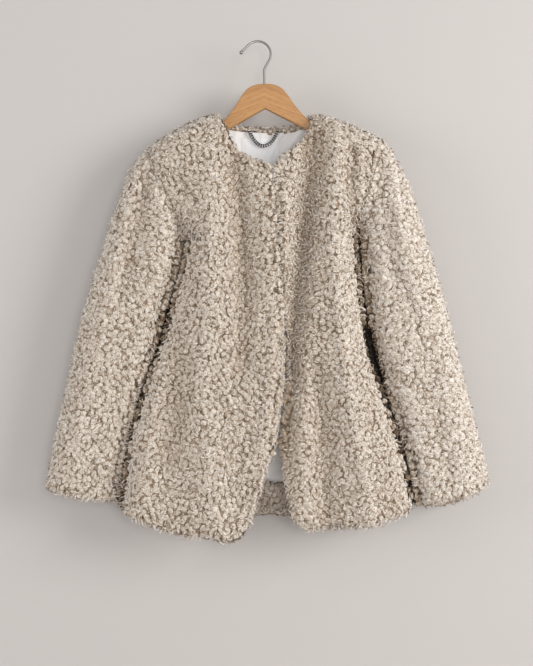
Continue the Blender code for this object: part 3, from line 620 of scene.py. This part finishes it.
def lock_lift(places, gap, rng):
    """How high the locks' tops are: those beside another panel fill a part of the gap to it."""
    lift = np.clip(rng.normal(*LOCK_LIFT, len(places)), *LOCK_LIFT_LIMITS)
    fill = np.clip((GAP_REACH - gap) / (GAP_REACH - GAP_FULL), 0, 1)
    uneven = rng.uniform(*GAP_UNEVEN, len(places))
    fill *= np.where(opened(places), 0.0, uneven) * GAP_FILL
    behind = places[:, 1] > 0
    fill = np.where(behind & (gap < GAP_REACH), GAP_BEHIND, fill)
    return np.minimum(lift + fill * gap, np.where(behind, GAP_BEHIND, GAP_FILL) * gap)


def make_locks(name, places, normals, room, gap, pale, material, rng):
    """The locks of a panel as one object. pale is the share of painted light that lifts its colour
    towards that of the tips.
    """
    count = len(places)
    locks = Locks(
        places,
        normals,
        room,
        heading=headings(places, LOCK_TURN, rng),
        size=rng.uniform(*LOCK_RADIUS, count),
        stretch=rng.uniform(*LOCK_STRETCH, count),
        lift=lock_lift(places, gap, rng),
    )
    own = rng.random(count)
    # painted shade in the creases of the front
    shade = 1 - CREASE_SHADE * front_share(places) * crease_depth(places, FRONT_CREASES) / MM
    # painted shade in the gaps beside the sleeves
    deep = painted_gap_shade(places, normals, gap)
    # painted light: locks that face sideways and those of the sleeves are painted lighter, less
    # beside a gap
    sideways = SIDE_LIGHT * np.clip(1 - np.abs(normals[:, 1]) / SIDE_SLOPE, 0, 1)
    fade = np.clip((gap - RIM[0]) / (GAP_REACH - RIM[0]), 0, 1)
    painted_light = np.maximum(sideways, pale) * np.where(beside_sleeve(places), fade, 1)
    joined, so_far = [], 0
    for points, faces, crown, strand in (make_strands(locks, rng), make_domes(locks)):
        each = len(points) // count
        strand[..., 2] = np.repeat(own, each)[:, None]
        light = crown * np.repeat(shade, each)[:, None]
        light += (1 - light) * np.repeat(painted_light, each)[:, None]
        light += (GAP_SHADE_CROWN - light) * np.repeat(deep, each)[:, None]
        joined.append((points.reshape(-1, 3), faces + so_far, light.ravel(), strand.reshape(-1, 3)))
        so_far += points.shape[0] * points.shape[1]
    return pile_object(name, *(np.concatenate(v) for v in zip(*joined)), material)


def make_wisps(name, places, normals, gap, free, rim, material, rng):
    """Thin curls that rise out of the pile and bend over. Those that are free, at a free edge,
    reach farther, and those on the rim of a gap are thicker and cross it in part."""
    count = len(places)
    heading = headings(places, WISP_TURN, rng)
    curl = np.radians(rng.choice([-1.0, 1.0], count) * rng.uniform(*WISP_CURL, count))
    low = free & (normals[:, 2] < LOW_EDGE)
    length = rng.uniform(*WISP_LENGTH, count) * np.where(low, EDGE_WISP_LONGER, 1)
    radius = rng.uniform(*WISP_RADIUS, count) * np.where(rim, RIM_WISP_THICKER, 1)
    start = np.radians(rng.uniform(*WISP_START, count))
    end = np.radians(rng.uniform(*WISP_END, count))
    steps = WISP_RINGS - 1
    t = (np.arange(steps) + 0.5) / steps
    rise = start[:, None] + (end - start)[:, None] * t
    turn = heading[:, None] + curl[:, None] * t
    flat = np.cos(rise)
    path = np.zeros((3, count, WISP_RINGS))
    path[:, :, 1:] = flat * np.cos(turn), flat * np.sin(turn), np.sin(rise)
    x, y, z = np.cumsum(path * (length / steps)[:, None], axis=2)
    top = rng.uniform(*WISP_TOP, count)
    top += np.where(low, rng.uniform(*EDGE_WISP_HIGHER, count), 0)
    near = (gap < MEETING[1]) | rim
    top += np.where(near & ~opened(places), rng.uniform(*RIM_WISP_REACH, count) * gap, 0)
    z = z * ((top + WISP_ROOT) / np.maximum(z.max(axis=1), 1 * MM))[:, None] - WISP_ROOT
    x, y = (v - v.mean(axis=1, keepdims=True) for v in (x, y))
    centres = laid_out(places, normals, x, y, z)
    t = np.linspace(0, 1, WISP_RINGS)
    radii = radius[:, None] * (1 - WISP_TAPER * t**2)
    points, faces = tubes(centres, normals, radii, WISP_ARCH, WISP_TALL)

    shape = (count, WISP_RINGS, len(WISP_ARCH))
    half, long = WISP_PATTERN
    # painted shade: darker at the sides and towards the root, its root end darkest
    light = (0.5 + 0.5 * t)[:, None] * np.array(WISP_CROWN)
    crown, across, along = (
        with_ends(np.broadcast_to(values, shape), first, last)
        for values, first, last in (
            (light, 0.3, 1.0),
            ([-half, 0.0, half], 0.0, 0.0),
            (long * t[:, None], -1.0, long + 1.0),
        )
    )
    # painted shade in the gaps beside the sleeves
    crown = crown + (GAP_SHADE_CROWN - crown) * painted_gap_shade(places, normals, gap)[:, None]
    own = np.broadcast_to(rng.random(count)[:, None], crown.shape)
    strand = np.stack([across, along, own], axis=-1)
    return pile_object(name, points, faces, crown, strand, material)


# ---- materials


class Nodes:
    """A material's node tree, with short calls to add a node and link it."""

    def __init__(self, name):
        self.material = bpy.data.materials.new(name)
        self.material.use_nodes = True
        self.tree = self.material.node_tree
        self.shader = self.tree.nodes["Principled BSDF"]

    def put(self, source, socket):
        if isinstance(source, bpy.types.NodeSocket):
            self.tree.links.new(source, socket)
        elif isinstance(source, tuple) and socket.type == "RGBA":
            socket.default_value = (*source, 1.0)
        else:
            socket.default_value = source

    def add(self, kind, links=(), **settings):
        node = self.tree.nodes.new(kind)
        for key, value in settings.items():
            setattr(node, key, value)
        for socket, source in dict(links).items():
            self.put(source, node.inputs[socket])
        return node

    def attribute(self, name, output="Fac"):
        return self.add("ShaderNodeAttribute", attribute_name=name).outputs[output]

    def place(self):
        return self.add("ShaderNodeTexCoord").outputs["Object"]

    def math(self, operation, a, b=0.0):
        return self.add("ShaderNodeMath", {0: a, 1: b}, operation=operation).outputs[0]

    def stretched(self, vector, scale, turn=(0.0, 0.0, 0.0)):
        node = self.add("ShaderNodeMapping", {"Vector": vector, "Scale": scale, "Rotation": turn})
        return node.outputs["Vector"]

    def noise(self, vector, scale, detail=2.0, rough=0.5):
        links = {"Vector": vector, "Scale": scale, "Detail": detail, "Roughness": rough}
        return self.add("ShaderNodeTexNoise", links).outputs["Fac"]

    def ramp(self, factor, stops):
        node = self.add("ShaderNodeValToRGB", {"Fac": factor})
        ramp = node.color_ramp
        while len(ramp.elements) < len(stops):
            ramp.elements.new(0.5)
        for element, (place, colour) in zip(ramp.elements, stops):
            element.position = place
            element.color = (*colour, 1.0)
        return node.outputs["Color"]

    def times(self, a, b):
        settings = {"data_type": "RGBA", "blend_type": "MULTIPLY"}
        return self.add("ShaderNodeMix", {0: 1.0, 6: a, 7: b}, **settings).outputs[2]

    def set(self, **values):
        for name, value in values.items():
            self.put(value, self.shader.inputs[name.replace("_", " ")])

    def bump(self, height, strength, distance):
        links = {"Strength": strength, "Distance": distance, "Height": height}
        self.set(Normal=self.add("ShaderNodeBump", links).outputs["Normal"])


SWIRL = 0.38  # radians that the fibres of a lock turn for each millimetre from its middle
OWN_TURN = 40.0  # and by its own number
FIBRE_SCALE = (0.55, 0.13, 37.0)  # of their noise, across and along them and by that number
# the fibres' noise paints the grooves between them darker, as painted shade
FIBRE_COLOURS = [(0.38, (0.50, 0.41, 0.32)), (0.51, (1.0, 1.0, 1.0))]
# painted shade by crown: near black deep in the pile, light at the tips
DEPTH_COLOURS = [
    (0.00, (0.02, 0.015, 0.01)),
    (0.10, (0.05, 0.036, 0.024)),
    (0.48, (0.36, 0.27, 0.185)),
    (0.64, (0.60, 0.51, 0.42)),
    (0.78, (0.80, 0.74, 0.67)),
    (1.00, (0.93, 0.89, 0.84)),
]


def fur_material(name):
    """Locks, with painted shade that makes them dark deep in the pile and light on top, and fibres
    that swirl round their middles, their grooves darker as painted shade.
    """
    m = Nodes(name)
    crown = m.attribute("crown")
    strand = m.attribute("strand", "Vector")
    parts = m.add("ShaderNodeSeparateXYZ", {"Vector": strand})
    own = parts.outputs["Z"]
    away = m.add("ShaderNodeVectorMath", {0: strand}, operation="LENGTH").outputs["Value"]
    turn = m.math("ADD", m.math("MULTIPLY", away, SWIRL), m.math("MULTIPLY", own, OWN_TURN))
    swirled = m.add("ShaderNodeVectorRotate", {"Vector": strand, "Angle": turn}).outputs["Vector"]
    fibre = m.noise(m.stretched(swirled, FIBRE_SCALE), 1.0, 2.0, 0.6)
    depth = m.ramp(m.math("MULTIPLY", m.math("ADD", crown, 1.0), 0.5), DEPTH_COLOURS)
    tones = [(0.0, (0.90, 0.88, 0.86)), (0.55, (0.97, 0.965, 0.96)), (1.0, (1.0, 1.0, 1.0))]
    colour = m.times(m.times(depth, m.ramp(own, tones)), m.ramp(fibre, FIBRE_COLOURS))
    m.set(Base_Color=colour, Roughness=0.75, Specular_IOR_Level=0.2)
    m.set(Sheen_Weight=0.08, Sheen_Roughness=0.5)
    m.bump(fibre, 0.7, 0.0016)
    return m.material


def ground_material(name):
    """The short dense pile between the locks: small curls with thin crevices of their own, painted
    dark as shade.
    """
    m = Nodes(name)
    place = m.place()
    bent = m.add("ShaderNodeTexNoise", {"Vector": place, "Scale": 170.0}).outputs["Color"]
    shift = m.add("ShaderNodeVectorMath", {0: bent, 3: 0.004}, operation="SCALE").outputs[0]
    warped = m.add("ShaderNodeVectorMath", {0: place, 1: shift}, operation="ADD").outputs[0]
    cells = m.add(
        "ShaderNodeTexVoronoi", {"Vector": warped, "Scale": 210.0}, feature="DISTANCE_TO_EDGE"
    ).outputs["Distance"]
    fibre = m.noise(m.stretched(warped, (1.0, 1.0, 0.4)), 750.0, 2.0, 0.6)
    # painted shade: the cells' edges dark as crevices
    tones = [(0.02, (0.22, 0.155, 0.10)), (0.14, (0.62, 0.53, 0.44)), (0.35, (0.80, 0.735, 0.66))]
    colour = m.times(m.ramp(cells, tones), m.ramp(fibre, FIBRE_COLOURS))
    m.set(Base_Color=colour, Roughness=0.95, Specular_IOR_Level=0.1)
    m.bump(m.math("ADD", cells, m.math("MULTIPLY", fibre, 0.4)), 0.8, 0.004)
    return m.material


def lining_material(name, darker, lighter):
    """White cloth with a very fine weave and a soft sheen."""
    m = Nodes(name)
    place = m.place()
    threads = m.add("ShaderNodeTexWave", {"Vector": place, "Scale": 700.0, "Distortion": 0.4})
    colour = m.ramp(m.noise(place, 14.0, 3.0), [(0.3, darker), (0.7, lighter)])
    m.set(Base_Color=colour, Roughness=0.38, Sheen_Weight=0.2, Specular_IOR_Level=0.5)
    m.bump(threads.outputs["Fac"], 0.1, 0.0002)
    return m.material


def wood_material(name):
    """Beech: straight grain that meets in a chevron, with short dark flecks."""
    m = Nodes(name)
    axes = m.add("ShaderNodeSeparateXYZ", {"Vector": m.place()})
    away = m.math("SUBTRACT", axes.outputs["X"], WOOD_MIDDLE)
    arm = m.add(
        "ShaderNodeCombineXYZ",
        {"X": m.math("ABSOLUTE", away), "Y": axes.outputs["Y"], "Z": axes.outputs["Z"]},
    ).outputs["Vector"]
    along = m.stretched(arm, (1.0, 1.0, 1.0), (0.0, WOOD_GRAIN_TURN, 0.0))
    bands = m.noise(m.stretched(along, (7.0, 60.0, 170.0)), 1.0, 4.0, 0.62)
    flecks = m.noise(m.stretched(along, (130.0, 500.0, 1500.0)), 1.0, 2.0)
    tones = [(0.3, (0.37, 0.174, 0.058)), (0.5, (0.46, 0.232, 0.082)), (0.7, (0.525, 0.28, 0.105))]
    spots = m.ramp(flecks, [(0.33, (0.72, 0.60, 0.50)), (0.42, (1.0, 1.0, 1.0))])
    m.set(Base_Color=m.times(m.ramp(bands, tones), spots), Roughness=0.42)
    m.set(Coat_Weight=0.25, Coat_Roughness=0.25, Specular_IOR_Level=0.45)
    m.bump(bands, 0.15, 0.0005)
    return m.material


def steel_material(name, colour, roughness):
    """Polished metal with faint marks from drawing the wire."""
    m = Nodes(name)
    m.set(Base_Color=colour, Roughness=roughness, Metallic=1.0)
    m.bump(m.noise(m.place(), 900.0), 0.05, 0.0002)
    return m.material


def plain_material(name, colour):
    """A stage material that shows from its front alone."""
    m = Nodes(name)
    m.set(Base_Color=colour, Roughness=0.95, Specular_IOR_Level=0.1)
    clear = m.add("ShaderNodeBsdfTransparent").outputs["BSDF"]
    behind = m.add("ShaderNodeNewGeometry").outputs["Backfacing"]
    mixed = m.add("ShaderNodeMixShader", {0: behind, 1: m.shader.outputs["BSDF"], 2: clear})
    m.put(mixed.outputs["Shader"], m.tree.nodes["Material Output"].inputs["Surface"])
    return m.material


# ---- stage


def make_camera():
    """The photo's view, straight from the front."""
    data = bpy.data.cameras.new("camera")
    data.sensor_width = SENSOR
    data.lens = SENSOR * CAMERA_DISTANCE / VIEW_HEIGHT
    camera = placed("camera", data)
    camera.location = CAMERA_AIM - Vector((0, CAMERA_DISTANCE, 0))
    camera.rotation_euler = (math.pi / 2, 0, 0)
    bpy.context.scene.camera = camera


def make_stage():
    """A wall close behind the coat and a floor, both plain and pale."""
    pale = plain_material("stage_pale", STAGE_COLOUR)
    left, right = -STAGE_REACH, STAGE_REACH
    for name, first, last in (
        ("stage_wall", (WALL_Y, FLOOR_Z), (WALL_Y, WALL_TOP)),
        ("stage_floor", (-STAGE_REACH, FLOOR_Z), (WALL_Y, FLOOR_Z)),
    ):
        corners = [(left, *first), (right, *first), (right, *last), (left, *last)]
        mesh = bpy.data.meshes.new(name)
        mesh.from_pydata(corners, [], [(0, 1, 2, 3)])
        mesh.materials.append(pale)
        placed(name, mesh)


def make_lights():
    """Soft studio light: an even surround and three large lamps."""
    scene = bpy.context.scene
    scene.view_settings.view_transform = "Standard"
    world = bpy.data.worlds.new("studio")
    world.use_nodes = True
    background = world.node_tree.nodes["Background"]
    background.inputs["Color"].default_value = WORLD_COLOUR
    background.inputs["Strength"].default_value = WORLD_STRENGTH
    scene.world = world
    for name, (place, size, power, colour) in LIGHTS.items():
        data = bpy.data.lights.new(name, "AREA")
        data.shape = "DISK"
        data.size = size
        data.energy = power
        data.color = colour
        light = placed(name, data)
        light.location = place
        light.rotation_euler = (LIGHT_AIM - Vector(place)).to_track_quat("-Z", "Y").to_euler()


# ---- fur panels


def hollow_boxes(node):
    """The stated hollows that the node goes round, as boxes."""
    start = {"sleeve_right": "right_sleeve", "sleeve_left": "left_sleeve"}.get(node, "torso")
    openings = frame["record"]["physics"]["openings"]
    return [np.array(o["box_m"]) for o in openings if o["name"].startswith(start)]


def way_out(points, boxes):
    """The directions from the nearest point of the hollow to these points."""
    away = np.full_like(points, np.inf)
    for low, high in boxes:
        here = points - np.clip(points, low, high)
        nearer = np.linalg.norm(here, axis=1) < np.linalg.norm(away, axis=1)
        away[nearer] = here[nearer]
    return unit(away)


def close_to(places, reach, *trees):
    """Which of these places are nearer than this to one of the surfaces."""
    found = [[t.find_nearest(Vector(p), reach)[0] is not None for t in trees] for p in places]
    return np.array(found).any(axis=1)


def make_shell(panel, wall, ground, inside):
    """The thin backing of a panel, on the form of its solid. Where it carries pile, away from its
    seams, it is drawn in to the ground between the locks."""
    node, points, faces, pile, inner, *_ = panel
    carried = np.unique(faces[pile])
    normals = point_normals(points, faces[pile])[carried]
    room = room_inside(points[carried], normals, wall)
    seam = np.zeros(len(points), bool)
    seam[faces[~pile & ~inner]] = True
    depth = np.where(seam[carried], 0, np.minimum(GROUND_DEPTH, ROOM_SHARE * room))
    moved = points.copy()
    moved[carried] -= normals * depth[:, None]
    shell = new_object(f"{node}_backing", "fur", moved, faces, ground, inside)
    shell.data.polygons.foreach_set("material_index", inner.astype(np.int32))
    shell.data.update()
    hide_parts(node)
    return shell


def panel_locks(panel, wall, least_room, parts, material, rng):
    """The locks of a panel, with an object for each part of its height: parts has their names and
    lowest z, from the top."""
    places, out = scattered(panel, panel.faces[panel.pile], LOCK_SPACING, rng)
    room = np.maximum(room_inside(places, out, wall), least_room)
    gap = gap_outside(places, out, panel.neighbours)
    # painted light on the sleeves
    pale = SLEEVE_PAINTED_LIGHT.get(panel.node, 0.0)
    pieces, top = [], math.inf
    for name, bottom in parts.items():
        here = (places[:, 2] >= bottom) & (places[:, 2] < top)
        arrays = (v[here] for v in (places, out, room, gap))
        pieces.append(make_locks(name, *arrays, pale, material, rng))
        top = bottom
    return pieces


def panel_wisps(panel, material, rng):
    """The wisps of a panel: some all over it, more at its free edges and where it meets another
    panel, and those on the rim of a gap beside a sleeve."""
    faces = panel.faces[panel.pile]
    middles = panel.points[faces].mean(axis=1)
    facing = unit(face_normals(panel.points, faces))
    gap = gap_outside(middles, facing, panel.neighbours)
    sleeve = beside_sleeve(middles)
    rim = (gap > RIM[0]) & (gap < RIM[1]) & (facing[:, 1] < RIM_SLOPE[1]) & sleeve
    meeting = (gap > MEETING[0]) & (gap < MEETING[1]) & ~sleeve
    all_over = scattered(panel, faces, WISP_SPACING, rng)
    at_edge = scattered(panel, faces[panel.edge[panel.pile]], EDGE_WISP_SPACING, rng)
    groups = {"edge": at_edge, "all_over": all_over}
    if meeting.any():
        groups["meeting"] = scattered(panel, faces[meeting], EDGE_WISP_SPACING, rng)
    if rim.any():
        groups["rim"] = scattered(panel, faces[rim], RIM_WISP_SPACING, rng)
    kind = np.repeat(list(groups), [len(there) for there, _ in groups.values()])
    places, out = (np.concatenate(v) for v in zip(*groups.values()))
    gap = gap_outside(places, out, panel.neighbours)
    name = f"{panel.node}_wisps"
    return make_wisps(name, places, out, gap, kind == "edge", kind == "rim", material, rng)


def make_panel(panel, least_room, parts, materials, rng):
    """A panel's shell, with its locks and wisps."""
    fur, ground, inside = materials
    wall = tree(panel.points, panel.faces)
    locks = panel_locks(panel, wall, least_room, parts, fur, rng)
    shell = make_shell(panel, wall, ground, inside)
    panel_wisps(panel, fur, rng)


def make_coat_panels(materials, rng):
    """The back, the fronts and the sleeves."""
    meshes = {n: subdivided(*node_mesh(n)) for n in FUR_NODES}
    trees = {n: tree(*meshes[n]) for n in FUR_NODES}
    for node in FUR_NODES:
        points, faces = meshes[node]
        outward = way_out(points[faces].mean(axis=1), hollow_boxes(node))
        neighbours = [trees[n] for n in FUR_NODES if n != node]
        facing = (unit(face_normals(points, faces)) * outward).sum(axis=1)
        inner = facing <= INNER
        pile = ~inner & ~close_to(points, SEAM_REACH, *neighbours)[faces].all(axis=1)
        carried = np.zeros(len(points))
        carried[faces[pile]] = 1
        points = creased(points, carried)
        parts = {f"{node}_locks": -math.inf}
        if node == "back":
            inner &= points[faces].mean(axis=1)[:, 2] > TURNED_UP
            parts = {"back_locks_upper": BACK_SPLIT, "back_locks_lower": -math.inf}
        edge = close_to(points[faces].mean(axis=1), EDGE_REACH, tree(points, faces[inner]))
        panel = Panel(node, points, faces, pile, inner, edge, neighbours)
        make_panel(panel, 0.0, parts, materials, rng)


def make_facing(materials, rng):
    """The pile turned up inside the back hem."""
    points, faces = subdivided(*node_mesh("hem_facing_back"))
    pile = unit(face_normals(points, faces))[:, 1] < FACING_BEHIND
    edge = points[faces].mean(axis=1)[:, 2] < points[:, 2].min() + RAGGED
    panel = Panel("hem_facing_back", points, faces, pile, ~pile, edge, [])
    parts = {"hem_facing_locks": -math.inf}
    make_panel(panel, LEAST_ROOM, parts, materials, rng)


# ---- lining and label


def split_finely(points, faces):
    """The lining's mesh with the longer edges of the stretch that shows split."""
    (left, low), (right, high) = LINING_FINE
    mesh = bmesh.new()
    corners = [mesh.verts.new(p) for p in points]
    for face in faces:
        mesh.faces.new([corners[i] for i in face])
    for _ in range(2):
        long = []
        for edge in mesh.edges:
            middle = (edge.verts[0].co + edge.verts[1].co) / 2
            shows = left < middle.x < right and low < middle.z < high
            if shows and edge.calc_length() > LINING_EDGE:
                long.append(edge)
        bmesh.ops.subdivide_edges(mesh, edges=long, cuts=1)
        bmesh.ops.triangulate(mesh, faces=[f for f in mesh.faces if len(f.verts) > 3])
    mesh.verts.index_update()
    points = np.array([v.co[:] for v in mesh.verts])
    faces = np.array([[v.index for v in f.verts] for f in mesh.faces])
    mesh.free()
    return points, faces


def make_label(cloth, cotton):
    """A bare label that lies just in front of the lining."""
    (left, bottom), (right, top) = LABEL_CORNERS
    across, up = (
        [low, *np.linspace(low + LABEL_RIM, high - LABEL_RIM, count - 2), high]
        for low, high, count in ((left, right, LABEL_COLUMNS), (bottom, top, LABEL_ROWS))
    )
    front = []
    for z in up:
        for x in across:
            hit = cloth.ray_cast(Vector((x, IN_FRONT_Y, z)), Vector((0, 1, 0)))[0]
            front.append((x, hit.y - LABEL_GAP, z))
    front = np.array(front)
    back = front + np.array([0, LABEL_THICKNESS, 0])
    grid = np.arange(len(front)).reshape(LABEL_ROWS, LABEL_COLUMNS)
    faces = quads(grid[:-1, :-1], grid[:-1, 1:], grid[1:, 1:], grid[1:, :-1])
    behind = faces[:, ::-1] + len(front)
    rim = np.concatenate([grid[0, :-1], grid[:-1, -1], grid[-1, :0:-1], grid[:0:-1, 0]])
    after = np.roll(rim, -1)
    sides = quads(after, rim, rim + len(front), after + len(front))
    points, faces = np.concatenate([front, back]), np.concatenate([faces, behind, sides])
    return new_object("label_blank", "lining", points, faces, cotton)


def make_lining(satin, cotton):
    """The lining as a thin creased shell, and the label sewn on it below the chain."""
    mesh = node_mesh("lining_back")
    for _ in range(LINING_SPLITS):
        mesh = subdivided(*mesh)
    points, faces = split_finely(*mesh)
    points[:, 1] += crease_depth(points, LINING_CREASES)
    lining = new_object("lining_back_shell", "lining", points, faces, satin)
    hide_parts("lining_back")
    label = make_label(tree(points, faces), cotton)


# ---- hang chain


def chain_line():
    """Points along the chain: the catenary between its ends that sags to its lowest point."""
    (x0, z0), (x1, z1) = CHAIN_ENDS
    half, sag = (x1 - x0) / 2, (z0 + z1) / 2 - CHAIN_BOTTOM_Z
    low, high = CHAIN_SCALES
    for _ in range(CHAIN_HALVINGS):
        scale = (low + high) / 2
        if scale * (math.cosh(half / scale) - 1) > sag:
            low = scale
        else:
            high = scale
    share = np.linspace(0, 1, CHAIN_POINTS)
    away = (2 * share - 1) * half
    z = CHAIN_BOTTOM_Z + scale * (np.cosh(away / scale) - 1) + (z1 - z0) * (share - 0.5)
    return np.stack([x0 + 2 * half * share, np.full_like(share, CHAIN_Y), z], axis=1)


def make_chain(bright, dark):
    """Oval links along the chain's line, polished and dark in turn, the dark ones painted dark as
    the shade between the polished ones.
    """
    line = chain_line()
    steps = np.linalg.norm(np.diff(line, axis=0), axis=1)
    run = np.concatenate([[0], np.cumsum(steps)])
    around_link = np.linspace(0, 2 * math.pi, LINK_STEPS, endpoint=False)[:, None, None]
    around_wire = np.linspace(0, 2 * math.pi, WIRE_STEPS, endpoint=False)[:, None]
    to_back = np.array([0.0, 1.0, 0.0])
    points = []
    for i in range(CHAIN_LINKS):
        middle = (i + 0.5) / CHAIN_LINKS * run[-1]
        spot, before, after = (
            np.array([np.interp(at, run, line[:, k]) for k in range(3)])
            for at in (middle, middle - 1 * MM, middle + 1 * MM)
        )
        along = unit(after - before)
        long, broad, wire, twist = LINKS[i % 2]
        twist = math.radians(twist)
        wide = np.cross(along, to_back) * math.cos(twist) + to_back * math.sin(twist)
        thin = np.cross(along, wide)
        cos, sin = np.cos(around_link), np.sin(around_link)
        ring = spot + along * cos * long + wide * sin * broad
        out = unit(along * cos * broad + wide * sin * long)
        points.append(ring + (out * np.cos(around_wire) + thin * np.sin(around_wire)) * wire)
    points = np.array(points)
    grid = np.arange(points[..., 0].size).reshape(CHAIN_LINKS, LINK_STEPS, WIRE_STEPS)
    a, b = grid, np.roll(grid, -1, axis=2)
    c, d = np.roll(a, -1, axis=1), np.roll(b, -1, axis=1)
    points = points.reshape(-1, 3)
    chain = new_object("hang_chain_links", "chain_steel", points, quads(a, b, d, c), bright, dark)
    tone = np.repeat(np.arange(CHAIN_LINKS, dtype=np.int32) % 2, 2 * LINK_STEPS * WIRE_STEPS)
    chain.data.polygons.foreach_set("material_index", tone)
    chain.data.update()
    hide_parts("hang_chain")


# ---- all of it


def main():
    rng = np.random.default_rng(SEED)
    make_camera()
    make_lights()
    make_stage()
    ground = ground_material("pile_ground")
    satin = lining_material("satin_lining", (0.86, 0.835, 0.825), (0.92, 0.90, 0.89))
    cotton = lining_material("label_cloth", (0.97, 0.97, 0.98), (0.98, 0.98, 0.99))
    materials = (fur_material("curly_pile"), ground, satin)
    make_coat_panels(materials, rng)
    make_facing((materials[0], ground, ground), rng)
    make_lining(satin, cotton)
    make_chain(
        steel_material("chain_polished", (0.80, 0.79, 0.77), 0.35),
        # the dark links' steel, near black as painted shade between the polished ones
        steel_material("chain_painted_shade", (0.02, 0.019, 0.018), 0.5),
    )
    for node, material in (
        ("hanger_wood", wood_material("beech")),
        ("hanger_hook", steel_material("hook_steel", (0.36, 0.355, 0.345), 0.32)),
    ):
        data = frame["nodes"][node].data
        data.materials.clear()
        data.materials.append(material)


main()
